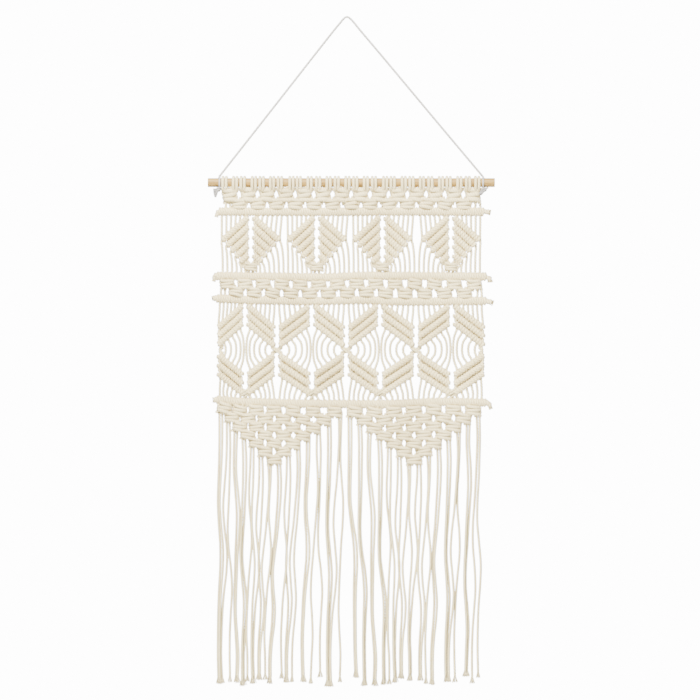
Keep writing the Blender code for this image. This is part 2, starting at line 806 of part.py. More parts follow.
def main():
    """Build the hanging."""
    clear_scene()
    parts = new_collection("macrame_wall_hanging")
    helpers = new_collection("cutters")
    cotton = new_material("cotton_cord", (0.83, 0.79, 0.72), 0.95)
    birch = new_material("birch", (0.80, 0.66, 0.46), 0.6)
    dowel(parts, birch)
    knotted_panel(parts, helpers, cotton)
    for name, middle, crowding, spacing in TRIANGLES:
        fringe_triangle(name, middle * MM, crowding * MM, spacing * MM, parts, helpers, cotton.copy())
    hanging_cord(parts, cotton.copy())
    for name, side, lump, start, tip in HANGING_KNOTS:
        hanging_knot(name, side, (lump, start, tip), parts, helpers, cotton.copy())


main()
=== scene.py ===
"""Dresses the macrame wall hanging in its cords, knots, rod and studio.

The cloth is built as its maker ties it: lark's heads on the rod, bands of
square knots, rows of double half hitches over holding cords, and hanging ends.
All lengths are in metres. The cloth faces -Y and hangs down along -Z.
"""

import logging
import math
import random
from dataclasses import dataclass
from enum import Enum
from typing import Any, Callable, Sequence

import bpy
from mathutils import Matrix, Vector


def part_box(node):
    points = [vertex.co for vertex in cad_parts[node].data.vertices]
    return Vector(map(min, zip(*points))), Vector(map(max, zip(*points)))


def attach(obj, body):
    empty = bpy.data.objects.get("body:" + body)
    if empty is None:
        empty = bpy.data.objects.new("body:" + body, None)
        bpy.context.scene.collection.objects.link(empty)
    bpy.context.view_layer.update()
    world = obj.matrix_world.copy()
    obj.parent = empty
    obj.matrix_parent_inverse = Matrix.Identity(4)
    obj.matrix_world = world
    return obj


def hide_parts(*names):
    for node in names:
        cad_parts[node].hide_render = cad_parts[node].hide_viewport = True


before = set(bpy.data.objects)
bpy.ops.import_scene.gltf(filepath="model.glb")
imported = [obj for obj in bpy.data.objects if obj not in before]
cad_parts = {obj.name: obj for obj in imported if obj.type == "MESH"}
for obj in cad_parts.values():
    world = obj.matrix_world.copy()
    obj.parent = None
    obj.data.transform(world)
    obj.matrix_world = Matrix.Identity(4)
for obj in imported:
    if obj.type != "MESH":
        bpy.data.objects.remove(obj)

MM = 0.001
ROD_CLEARANCE = 0.3 * MM
BODY = "root"
PANEL = "knotted_panel"
WORKING_COTTON = "cotton_cord"
THIN_COTTON = "hanging_cotton"
SIDES = (-1, 1)
PICTURE_WIDTH = 700

Line = list[Vector]
Row = tuple[Line, int]
Point = tuple[float, float, float]
Inputs = dict[str | int, Any]
Piece = bpy.types.Object
Finish = bpy.types.Material
Tree = bpy.types.NodeTree
Node = bpy.types.Node
Socket = bpy.types.NodeSocket

log = logging.getLogger("macrame")


class Fill(Enum):
    """How a cord's plies are shown."""

    TWISTED = "plies that stand out and wind round the cord"
    DRAWN = "a round cord with its plies drawn by the finish"


@dataclass(frozen=True)
class Cord:
    """A cotton cord's thickness, twist and fineness.

    Attributes:
        radius: Half its thickness.
        lay: The length in which a ply winds once round.
        sides: Faces round it.
        step: The length of one face along it.
        fill: How its plies are shown.
    """

    radius: float
    lay: float
    sides: int
    step: float
    fill: Fill


HANGING_TWIST = Cord(2.15 * MM, 12 * MM, 6, 1.5 * MM, Fill.TWISTED)
KNOTTED = Cord(2.7 * MM, 9 * MM, 6, 1.4 * MM, Fill.TWISTED)
HEAD_CORD = Cord(1.9 * MM, 12 * MM, 8, 2.0 * MM, Fill.DRAWN)
HITCHED = Cord(1.95 * MM, 12 * MM, 8, 2.6 * MM, Fill.DRAWN)
# The hanging cord's crowns stand out past its own thickness, which the tied one below has.
HANGER = Cord(1.8 * MM, 9 * MM, 6, 1.2 * MM, Fill.TWISTED)
HANGER_KNOTTED = Cord(1.25 * MM, 9 * MM, 8, 1.2 * MM, Fill.DRAWN)
# A fibre is drawn thicker than a real one, so that a frayed end shows.
FIBRE = Cord(0.32 * MM, 12 * MM, 3, 4 * MM, Fill.DRAWN)


def feed(node: Node, inputs: Inputs) -> Node:
    """Set or link a node's inputs.

    Args:
        node: The node.
        inputs: For each input, by name or number, a value, the socket that feeds it, or the node
            whose first output feeds it.

    Returns:
        The node.
    """
    for key, value in inputs.items():
        if isinstance(value, Node):
            value = value.outputs[0]
        if isinstance(value, Socket):
            node.id_data.links.new(value, node.inputs[key])
        else:
            node.inputs[key].default_value = value
    return node


def add_node(tree: Tree, kind: str, inputs: Inputs | None = None, **settings: Any) -> Node:
    """Add a node to a tree.

    Args:
        tree: The tree that takes the node.
        kind: The node's type.
        inputs: Its inputs, as feed takes them.
        settings: Its own settings.

    Returns:
        The new node.
    """
    node = tree.nodes.new(kind)
    for name, value in settings.items():
        setattr(node, name, value)
    return feed(node, inputs or {})


def linear(hex_colour: str) -> tuple[float, float, float, float]:
    """Turn an sRGB hex value into a linear colour.

    Args:
        hex_colour: Six hex digits after a hash sign.

    Returns:
        Red, green, blue and alpha.
    """
    parts = [int(hex_colour[index : index + 2], 16) / 255 for index in (1, 3, 5)]
    straight = [part / 12.92 if part <= 0.04045 else ((part + 0.055) / 1.055) ** 2.4 for part in parts]
    return (*straight, 1.0)


def new_finish(name: str, looks: Inputs) -> tuple[Finish, Tree, Node]:
    """Start a material.

    Args:
        name: Its name.
        looks: Its shader's own values by name.

    Returns:
        The material, its tree and its shader.
    """
    finish = bpy.data.materials.new(name)
    finish.use_nodes = True
    tree = finish.node_tree
    return finish, tree, feed(tree.nodes["Principled BSDF"], looks)


@dataclass(frozen=True)
class CottonFinish:
    """Undyed cotton cord, spun and plied: matt and a little fuzzy, with darker colour painted into the
    grooves between its plies as shading.

    Attributes:
        name: The material's name.
        light: Colour of the plies' crowns.
        painted_shading_and_patch_tint: Colour painted into the grooves between them as shading; it also tints
            the warmer patches.
        plies: How many plies are twisted together.
        fibre: Width of the bundles of fibre that show on a ply.
        run: How many of its widths a bundle runs on along its ply.
        bundles: How many bundles lie round the cord.
        fuzz: How much the bundles lighten or darken a ply.
        relief: How high the plies stand.
        patch: Size of the cord's slow changes of colour.
        warmth: The most that a patch is warmer.
    """

    name: str
    light: str = "#F2E2AC"
    painted_shading_and_patch_tint: str = "#AE9970"
    plies: int = 3
    fibre: float = 0.5 * MM
    run: float = 8.0
    bundles: float = 11.0
    fuzz: float = 0.45
    relief: float = 0.35 * MM
    patch: float = 60 * MM
    warmth: float = 0.22

    def material(self) -> Finish:
        """Build the material.

        Returns:
            A material that reads the cord's own UV map: turns round it, and metres along it.
        """
        looks = {"Roughness": 0.92, "Sheen Weight": 0.25, "Sheen Roughness": 0.5, "Specular IOR Level": 0.2}
        finish, tree, shader = new_finish(self.name, looks)
        light, painted_shading_and_patch_tint = linear(self.light), linear(self.painted_shading_and_patch_tint)
        place = add_node(tree, "ShaderNodeTexCoord")
        uv = add_node(tree, "ShaderNodeSeparateXYZ", {0: place.outputs["UV"]})
        turn = add_node(tree, "ShaderNodeMath", {0: uv, 1: math.pi * self.plies}, operation="MULTIPLY")
        wave = add_node(tree, "ShaderNodeMath", {0: turn}, operation="SINE")
        crown = add_node(tree, "ShaderNodeMath", {0: wave}, operation="ABSOLUTE")
        around = add_node(tree, "ShaderNodeMath", {0: uv, 1: self.bundles}, operation="MULTIPLY")
        per_metre = 1 / (self.run * self.fibre)
        along = add_node(tree, "ShaderNodeMath", {0: uv.outputs["Y"], 1: per_metre}, operation="MULTIPLY")
        spot = add_node(tree, "ShaderNodeCombineXYZ", {0: around, 1: along})
        fibres = add_node(tree, "ShaderNodeTexNoise", {"Vector": spot, "Scale": 1.0, "Detail": 2.0})
        patches = {"Vector": place.outputs["Object"], "Scale": 1 / self.patch}
        slow = add_node(tree, "ShaderNodeTexNoise", patches)
        relief = {0: fibres, 1: self.fuzz, 2: crown}
        depth = add_node(tree, "ShaderNodeMath", relief, operation="MULTIPLY_ADD")
        tone = add_node(tree, "ShaderNodeMapRange", {"Value": depth, "From Min": 0.1, "From Max": 0.9})
        # Painted shading: the grooves between the plies' crowns take the darker colour, standing in for the
        # shading that gathers there.
        painted_groove_shading = add_node(tree, "ShaderNodeMix", {0: tone, 6: painted_shading_and_patch_tint, 7: light}, data_type="RGBA")
        warmer = {"Value": slow, "From Min": 0.35, "From Max": 0.75, "To Max": self.warmth}
        warm = add_node(tree, "ShaderNodeMapRange", warmer)
        # Slow patches take on some of that darker colour at random, as a real change of tone.
        colour = add_node(
            tree, "ShaderNodeMix", {0: warm, 6: painted_groove_shading.outputs[2], 7: painted_shading_and_patch_tint},
            data_type="RGBA", blend_type="MULTIPLY",
        )
        bump = add_node(tree, "ShaderNodeBump", {"Strength": 0.6, "Distance": self.relief, "Height": depth})
        feed(shader, {"Base Color": colour.outputs[2], "Normal": bump})
        return finish


@dataclass(frozen=True)
class BirchFinish:
    """Sanded birch dowel: pale, smooth, with fine grain along the rod.

    Attributes:
        name: The material's name.
        early: Colour of the wood between the grain lines.
        late: Colour of the grain lines.
        grain: Width of a grain line.
        run: How much longer a grain line is than wide.
        relief: How high the grain stands.
    """

    name: str = "sanded_birch"
    early: str = "#A98740"
    late: str = "#82622A"
    grain: float = 1.6 * MM
    run: float = 28.0
    relief: float = 0.1 * MM

    def material(self) -> Finish:
        """Build the material.

        Returns:
            A material that reads Object coordinates, so the grain runs through the end faces too.
        """
        finish, tree, shader = new_finish(self.name, {"Roughness": 0.55, "Specular IOR Level": 0.4})
        place = add_node(tree, "ShaderNodeTexCoord")
        scale = (1 / (self.grain * self.run), 1 / self.grain, 1 / self.grain)
        stretch = add_node(tree, "ShaderNodeMapping", {"Vector": place.outputs["Object"], "Scale": scale})
        noise = add_node(
            tree, "ShaderNodeTexNoise", {"Vector": stretch, "Scale": 1.0, "Detail": 4.0, "Distortion": 0.6}
        )
        tone = add_node(tree, "ShaderNodeMapRange", {"Value": noise, "From Min": 0.42, "From Max": 0.72})
        tones = {0: tone, 6: linear(self.early), 7: linear(self.late)}
        colour = add_node(tree, "ShaderNodeMix", tones, data_type="RGBA")
        bump = add_node(tree, "ShaderNodeBump", {"Strength": 0.25, "Distance": self.relief, "Height": noise})
        feed(shader, {"Base Color": colour.outputs[2], "Normal": bump})
        return finish


@dataclass(frozen=True)
class PaperFinish:
    """Seamless white studio paper: matt, with a faint tooth.

    Attributes:
        name: The material's name.
        colour: Its colour.
        tooth: Size of its fibres.
        relief: How high they stand.
    """

    name: str = "studio_paper"
    colour: str = "#FFFFFF"
    tooth: float = 2.5 * MM
    relief: float = 0.1 * MM

    def material(self) -> Finish:
        """Build the material.

        Returns:
            A material that reads Object coordinates.
        """
        finish, tree, shader = new_finish(self.name, {"Base Color": linear(self.colour), "Roughness": 1.0})
        place = add_node(tree, "ShaderNodeTexCoord")
        grains = {"Vector": place.outputs["Object"], "Scale": 1 / self.tooth}
        tooth = add_node(tree, "ShaderNodeTexNoise", grains)
        bump = add_node(tree, "ShaderNodeBump", {"Strength": 0.05, "Distance": self.relief, "Height": tooth})
        feed(shader, {"Normal": bump})
        return finish


def put_in_scene(name: str, data: bpy.types.ID) -> Piece:
    """Make an object and link it to the scene.

    Args:
        name: The object's name.
        data: Its mesh, curve, light or camera.

    Returns:
        The object.
    """
    made = bpy.data.objects.new(name, data)
    bpy.context.collection.objects.link(made)
    return made


def curve_object(name: str, lines: Sequence[Line], sizes: Sequence[Sequence[float]] | None = None) -> Piece:
    """Make a curve object with one spline for each line.

    Args:
        name: The object's name.
        lines: The points of each spline.
        sizes: The radius at each point of each spline, or None for 1 everywhere.

    Returns:
        The curve object, linked to the scene.
    """
    data = bpy.data.curves.new(name, "CURVE")
    data.dimensions = "3D"
    for number, line in enumerate(lines):
        spline = data.splines.new("POLY")
        spline.points.add(len(line) - 1)
        spline.points.foreach_set("co", [part for place in line for part in (*place, 1.0)])
        if sizes is not None:
            spline.points.foreach_set("radius", list(sizes[number]))
    return put_in_scene(name, data)


def made_mesh(guide: Piece, tree: Tree, values: dict[str, Any]) -> Piece:
    """Run a tree on a guide object and keep the result as a plain mesh.

    Args:
        guide: The object that the tree reads, which is removed.
        tree: The geometry node tree.
        values: The tree's inputs by their names.

    Returns:
        A mesh object with the guide's name.
    """
    modifier = guide.modifiers.new(tree.name, "NODES")
    modifier.node_group = tree
    for name, value in values.items():
        modifier[tree.interface.items_tree[name].identifier] = value
    bpy.context.view_layer.update()
    graph = bpy.context.evaluated_depsgraph_get()
    mesh = bpy.data.meshes.new_from_object(guide.evaluated_get(graph), depsgraph=graph)
    name = guide.name
    bpy.data.objects.remove(guide, do_unlink=True)
    mesh.name = name
    return put_in_scene(name, mesh)


def new_tree(name: str, **sockets: str) -> tuple[Tree, bpy.types.NodeOutputs]:
    """Start a geometry node tree.

    Args:
        name: The tree's name.
        sockets: The type of each input after the geometry, by its name.

    Returns:
        The tree and its inputs' sockets.
    """
    tree = bpy.data.node_groups.new(name, "GeometryNodeTree")
    tree.interface.new_socket("Geometry", in_out="INPUT", socket_type="NodeSocketGeometry")
    tree.interface.new_socket("Made", in_out="OUTPUT", socket_type="NodeSocketGeometry")
    for socket, kind in sockets.items():
        tree.interface.new_socket(socket, in_out="INPUT", socket_type="NodeSocket" + kind)
    return tree, add_node(tree, "NodeGroupInput").outputs


def end_tree(tree: Tree, made: Node, finish: Socket) -> Tree:
    """End a geometry node tree with real geometry in its finish.

    Args:
        tree: The tree.
        made: The node that gives the geometry.
        finish: The finish's socket.

    Returns:
        The tree.
    """
    real = add_node(tree, "GeometryNodeRealizeInstances", {"Geometry": made})
    dressed = add_node(tree, "GeometryNodeSetMaterial", {"Geometry": real, "Material": finish})
    add_node(tree, "NodeGroupOutput", {"Made": dressed})
    return tree


class CordSpinner:
    """Spins cords of cotton along lines of points.

    Attributes:
        lobe: How far a twisted cord is drawn in between its plies, as a share of its radius.
        closing_gap: The share of a turn from a corner to its face's mean that only the face that
            closes the ring has.
        tree: The tree that every cord is spun by.
    """

    lobe = 0.2
    closing_gap = 0.26

    def __init__(self) -> None:
        """Build the tree: a smooth line, a turning section swept along it, and its UV map."""
        tree, given = new_tree(
            "spin_cord", Radius="Float", Sides="Int", Step="Float", Lay="Float", Lobe="Float", Turns="Float",
            Drawn="Float", Finish="Material",
        )
        smooth = add_node(
            tree, "GeometryNodeCurveSplineType", {0: given["Geometry"]}, spline_type="CATMULL_ROM"
        )
        steps = {"Curve": smooth, "Length": given["Step"]}
        even = add_node(tree, "GeometryNodeResampleCurve", steps, mode="LENGTH")
        far = add_node(tree, "GeometryNodeSplineParameter").outputs["Length"]
        lays = add_node(tree, "ShaderNodeMath", {0: far, 1: given["Lay"]}, operation="DIVIDE")
        tilt = add_node(tree, "ShaderNodeMath", {0: lays, 1: given["Turns"]}, operation="MULTIPLY")
        turned = add_node(tree, "GeometryNodeSetCurveTilt", {"Curve": even, "Tilt": tilt})
        path = self._kept(tree, turned, "along", far)
        section = self._section(tree, given)
        radius = add_node(tree, "GeometryNodeInputRadius")
        sweep = {"Curve": path, "Profile Curve": section, "Scale": radius, "Fill Caps": True}
        swept = add_node(tree, "GeometryNodeCurveToMesh", sweep)
        mapped = self._mapped(tree, swept, given)
        shaded = add_node(tree, "GeometryNodeSetShadeSmooth", {"Geometry": mapped})
        self.tree = end_tree(tree, shaded, given["Finish"])

    @staticmethod
    def _kept(tree: Tree, geometry: Node, name: str, value: Node | Socket) -> Node:
        """Keep a number at each point under a name."""
        keep = {"Geometry": geometry, "Name": name, "Value": value}
        return add_node(tree, "GeometryNodeStoreNamedAttribute", keep, data_type="FLOAT", domain="POINT")

    def _section(self, tree: Tree, given: bpy.types.NodeOutputs) -> Node:
        """Draw the cord's section, with every other corner drawn in by the lobe.

        Args:
            tree: The tree that takes the nodes.
            given: The tree's inputs.

        Returns:
            The node that gives the section.
        """
        size = {"Resolution": given["Sides"], "Radius": given["Radius"]}
        ring = add_node(tree, "GeometryNodeCurvePrimitiveCircle", size)
        corner = add_node(tree, "GeometryNodeInputIndex")
        every_other = add_node(tree, "ShaderNodeMath", {0: corner, 1: 2.0}, operation="MODULO")
        drawn_in = add_node(tree, "ShaderNodeMath", {0: every_other, 1: given["Lobe"]}, operation="MULTIPLY")
        kept = add_node(tree, "ShaderNodeMath", {0: 1.0, 1: drawn_in}, operation="SUBTRACT")
        place = add_node(tree, "GeometryNodeInputPosition")
        moved = add_node(tree, "ShaderNodeVectorMath", {0: place, "Scale": kept}, operation="SCALE")
        lobed = add_node(tree, "GeometryNodeSetPosition", {"Geometry": ring, "Position": moved})
        share = add_node(tree, "ShaderNodeMath", {0: corner, 1: given["Sides"]}, operation="DIVIDE")
        return self._kept(tree, lobed, "around", share)

    def _mapped(self, tree: Tree, geometry: Node, given: bpy.types.NodeOutputs) -> Node:
        """Give a cord its UV map: turns round it, with the drawn twist added, and metres along it.

        Args:
            tree: The tree that takes the nodes.
            geometry: The node that gives the cord.
            given: The tree's inputs.

        Returns:
            The node that gives the mapped cord.
        """
        names = ("around", "along")
        around, along = (
            add_node(tree, "GeometryNodeInputNamedAttribute", {"Name": name}, data_type="FLOAT")
            for name in names
        )
        # A face that closes the ring has corners at both ends of the count, so its mean is far from them.
        mean = add_node(tree, "GeometryNodeFieldOnDomain", {0: around}, domain="FACE")
        behind = add_node(tree, "ShaderNodeMath", {0: mean, 1: around}, operation="SUBTRACT")
        closing = add_node(tree, "ShaderNodeMath", {0: behind, 1: self.closing_gap}, operation="GREATER_THAN")
        whole = add_node(tree, "ShaderNodeMath", {0: around, 1: closing}, operation="ADD")
        lays = add_node(tree, "ShaderNodeMath", {0: along, 1: given["Lay"]}, operation="DIVIDE")
        twist = {0: lays, 1: given["Drawn"], 2: whole}
        drawn = add_node(tree, "ShaderNodeMath", twist, operation="MULTIPLY_ADD")
        pair = add_node(tree, "ShaderNodeCombineXYZ", {0: drawn, 1: along})
        mapped = add_node(
            tree, "GeometryNodeStoreNamedAttribute", {"Geometry": geometry, "Name": "UVMap", "Value": pair},
            data_type="FLOAT2", domain="CORNER",
        )
        for name in names:
            mapped = add_node(tree, "GeometryNodeRemoveAttribute", {"Geometry": mapped, "Name": name})
        return mapped

    def spin(
        self, name: str, lines: Sequence[Line], cord: Cord, finish: Finish,
        sizes: Sequence[Sequence[float]] | None = None,
    ) -> Piece:
        """Spin one piece of many cords.

        Args:
            name: The piece's name.
            lines: The points that each cord runs through.
            cord: The cord's thickness and twist.
            finish: Its material.
            sizes: How thick each cord is at each point, as a share of its radius.

        Returns:
            The piece, a mesh of closed cords.
        """
        twisted = cord.fill is Fill.TWISTED
        values = {
            "Radius": cord.radius,
            "Sides": cord.sides,
            "Step": cord.step,
            "Lay": cord.lay,
            "Lobe": self.lobe if twisted else 0.0,
            "Turns": math.tau if twisted else 0.0,
            "Drawn": 0.0 if twisted else 1.0,
            "Finish": finish,
        }
        return made_mesh(curve_object(name, lines, sizes), self.tree, values)


class KnotTier:
    """Ties one knot at each point of a line, turned to follow the line.

    Attributes:
        tree: The tree that every row is tied by.
    """

    def __init__(self) -> None:
        """Build the tree: a copy of the knot at each point, as long as the point's radius says."""
        tree, given = new_tree(
            "tie_along", Knot="Object", Size="Vector", Unevenness="Float", Seed="Int", Finish="Material",
            Level="Bool",
        )
        knot = add_node(tree, "GeometryNodeObjectInfo", {"Object": given["Knot"]})
        tangent = add_node(tree, "GeometryNodeInputTangent")
        ways = {"Switch": given["Level"], "False": tangent, "True": (1.0, 0.0, 0.0)}
        way = add_node(tree, "GeometryNodeSwitch", ways, input_type="VECTOR")
        aligned = add_node(
            tree, "FunctionNodeAlignRotationToVector", {"Vector": way}, axis="X", pivot_axis="Y"
        )
        most = given["Unevenness"]
        low, high = (
            add_node(tree, "ShaderNodeVectorMath", {0: corner, "Scale": most}, operation="SCALE")
            for corner in ((-1.0, -1.0, -1.0), (1.0, 1.0, 1.0))
        )
        leans = {0: low, 1: high, "Seed": given["Seed"]}
        lean = add_node(tree, "FunctionNodeRandomValue", leans, data_type="FLOAT_VECTOR")
        turns = {"Rotation": aligned, "Rotate By": lean}
        turned = add_node(tree, "FunctionNodeRotateRotation", turns, rotation_space="LOCAL")
        length = add_node(tree, "GeometryNodeInputRadius")
        stretch = add_node(tree, "ShaderNodeCombineXYZ", {0: length, 1: 1.0, 2: 1.0})
        size = add_node(tree, "ShaderNodeVectorMath", {0: stretch, 1: given["Size"]}, operation="MULTIPLY")
        # A knot that leans more is also a little thicker or thinner.
        swelling = {0: lean, 1: (0.0, 0.5, 0.5), 2: (1.0, 1.0, 1.0)}
        swell = add_node(tree, "ShaderNodeVectorMath", swelling, operation="MULTIPLY_ADD")
        uneven = add_node(tree, "ShaderNodeVectorMath", {0: size, 1: swell}, operation="MULTIPLY")
        copies = {"Points": given["Geometry"], "Instance": knot.outputs["Geometry"]}
        placed = copies | {"Rotation": turned, "Scale": uneven}
        tied = add_node(tree, "GeometryNodeInstanceOnPoints", placed)
        self.tree = end_tree(tree, tied, given["Finish"])

    def tie(
        self,
        name: str,
        rows: Sequence[Line],
        knot: Piece,
        finish: Finish,
        lengths: Sequence[float] | None = None,
        size: Point = (1.0, 1.0, 1.0),
        unevenness: float = 0.05,
        seed: int = 1,
    ) -> Piece:
        """Tie rows of one knot.

        Args:
            name: The piece's name.
            rows: The knots' places in each row, from left to right.
            knot: The knot to copy, as a mesh about its own middle.
            finish: Its material.
            lengths: For each row, the knots' length along it as a share of the knot's own.
            size: The knots' size along the row, through the cloth and across the row.
            unevenness: The most that a knot is turned, in radians.
            seed: Picks the turns.

        Returns:
            The piece, a mesh of closed cords.
        """
        sizes = None if lengths is None else [[share] * len(row) for share, row in zip(lengths, rows)]
        values = {
            "Knot": knot,
            "Size": size,
            "Unevenness": unevenness,
            "Seed": seed,
            "Finish": finish,
            # A row of one knot has no way of its own, so the knot stays level.
            "Level": all(len(row) == 1 for row in rows),
        }
        return made_mesh(curve_object(name, rows, sizes), self.tree, values)


def seat(piece: Piece, slot: str, *nodes: str) -> Piece:
    """Let a finished piece ride on the hanging in place of the nodes that it stands for.

    Args:
        piece: The piece, in place.
        slot: Not used.
        nodes: The nodes that it replaces.

    Returns:
        The piece.
    """
    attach(piece, BODY)
    if nodes:
        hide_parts(*nodes)
    log.info("%s: %d faces", piece.name, len(piece.data.polygons))
    return piece


def lengths_of(line: Line) -> list[float]:
    """The length of each stretch of a line of points."""
    return [(after - before).length for before, after in zip(line, line[1:])]


def spread(line: Line, count: int) -> Line:
    """Places at equal steps along a line of points.

    Args:
        line: The line's points.
        count: How many places there are.

    Returns:
        The middle of each step.
    """
    lengths = lengths_of(line)
    places = []
    for index in range(count):
        left = (index + 0.5) / count * sum(lengths)
        for start, end, length in zip(line, line[1:], lengths):
            if left <= length:
                break
            left -= length
        places.append(start.lerp(end, left / length))
    return places


def in_mm(*places: Sequence[float]) -> Line:
    """Turn places in millimetres into points."""
    return [Vector(place) * MM for place in places]


@dataclass
class Knots:
    """The three knots of the cloth, each tied once about its own middle.

    Attributes:
        spinner: Spins the knots' cords.
        finish: The cotton of the working cord.
        rod_surface: From the rod's middle to the inside of a head's cord.
        hitch_length: How much of a row one hitch takes up.
        hitch_reach: From the middle of the holding cord to the middle of its wraps.
        hitch_steps: How many stretches one wrap of a hitch has.
        row_height: Height of a row of square knots.
        knot_spacing: Distance between the square knots of a row.
        legs_apart: Half the distance between a head's two legs, in millimetres.
        wrap: How far a head's cord runs over the rod, in half turns.
        wrap_start: How far before the rod's front that starts.
        wrap_steps: How many stretches it has.
        pressed: How much of its thickness a head's cord keeps where it lies on the rod.
        press_foot: Height below which a head's cord isn't pressed.
        press_rise: Height over which the pressing sets in.
    """

    spinner: CordSpinner
    finish: Finish
    rod_surface: float
    hitch_length: float = 7.0 * MM
    hitch_reach: float = 3.45 * MM
    hitch_steps: int = 8
    row_height: float = 12.25 * MM
    knot_spacing: float = 26.2 * MM
    legs_apart: float = 2.35
    wrap: float = 1.16
    wrap_start: float = 0.10
    wrap_steps: int = 6
    pressed: float = 0.66
    press_foot: float = -9.5 * MM
    press_rise: float = 5.0 * MM

    def hitch(self) -> Piece:
        """Tie a double half hitch: two wraps round a holding cord that runs along X.

        Returns:
            The hitch.
        """
        pitch = self.hitch_length / 2
        line = []
        for index in range(2 * self.hitch_steps + 1):
            turn = index / self.hitch_steps
            # The wraps lie square to the holding cord in front and slant behind.
            slant = pitch / math.tau * math.sin(math.tau * (turn - 0.5))
            angle = math.tau * turn
            x = pitch * (turn - 1) - slant
            line.append(Vector((x, self.hitch_reach * math.cos(angle), -self.hitch_reach * math.sin(angle))))
        return self.spinner.spin("hitch", [line], HITCHED, self.finish)

    def square_knot(self) -> Piece:
        """Tie a square knot: two cords cross three times, one in front and one behind two that run straight.

        Returns:
            The knot.
        """
        front = in_mm(
            (-9.4, 0.2, 8.8), (-8.6, -0.8, 6.6), (-5.0, -4.2, 5.0), (0.0, -5.2, 4.5), (5.0, -4.2, 4.0),
            (8.3, -1.3, 3.2), (8.4, -1.2, 1.3), (5.2, -4.3, 0.3), (0.0, -5.2, 0.0), (-5.2, -4.3, -0.3),
            (-8.4, -1.2, -1.3), (-8.3, -1.3, -3.2), (-5.0, -4.2, -4.0), (0.0, -5.2, -4.5), (5.0, -4.2, -5.0),
            (8.4, -1.0, -6.2), (9.0, 0.2, -8.6),
        )
        behind = in_mm(
            (9.4, 0.2, 8.8), (8.4, 0.6, 6.6), (5.0, 3.6, 5.0), (0.0, 4.4, 4.5), (-5.0, 3.6, 4.3),
            (-8.5, 0.4, 3.9), (-8.8, -0.6, 2.0), (-8.0, 1.6, 0.6), (-4.0, 4.2, 0.0), (4.0, 4.2, 0.0),
            (8.0, 1.6, -0.6), (8.8, -0.6, -2.0), (8.5, 0.4, -3.9), (5.0, 3.6, -4.3), (0.0, 4.4, -4.6),
            (-5.0, 3.6, -5.0), (-8.4, 0.6, -6.2), (-9.0, 0.2, -8.6),
        )
        lines = [front, behind]
        for side in SIDES:
            straight = ((3.6, -0.2, 8.8), (2.2, -0.8, 4.0), (2.2, -0.8, -4.0), (3.8, -0.2, -8.8))
            padding = ((5.6, -0.2, 5.4), (5.8, -0.6, 0.0), (5.6, -0.2, -5.4))
            lines += [in_mm(*((side * x, y, z) for x, y, z in cord)) for cord in (straight, padding)]
        return self.spinner.spin("square_knot", lines, KNOTTED, self.finish)

    def head(self) -> Piece:
        """Tie a lark's head: up in front of the rod, over, round behind both legs and back.

        Returns:
            The head, about the rod's middle, with its cord pressed flat on the rod.
        """
        reach = (self.rod_surface + KNOTTED.radius) / MM
        leg = [(-1.0, -12.6), (-6.4, -8.6)]
        for index in range(self.wrap_steps + 1):
            angle = math.pi * (index / self.wrap_steps * self.wrap - self.wrap_start)
            leg.append((-reach * math.cos(angle), reach * math.sin(angle)))
        leg.append((5.2, -8.6))
        left = in_mm(*((-self.legs_apart, y, z) for y, z in leg))
        right = in_mm(*((self.legs_apart, y, z) for y, z in reversed(leg)))
        bridge = in_mm((0.0, 4.4, -10.6))
        head = self.spinner.spin("head", [left + bridge + right], HEAD_CORD, self.finish)
        for vertex in head.data.vertices:
            x, y, z = vertex.co
            distance = math.hypot(y, z)
            press = min(max((z - self.press_foot) / self.press_rise, 0.0), 1.0)
            kept = 1.0 - (1.0 - self.pressed) * press
            share = (self.rod_surface + (distance - self.rod_surface) * kept) / distance
            vertex.co = (x, y * share, z * share)
        return head


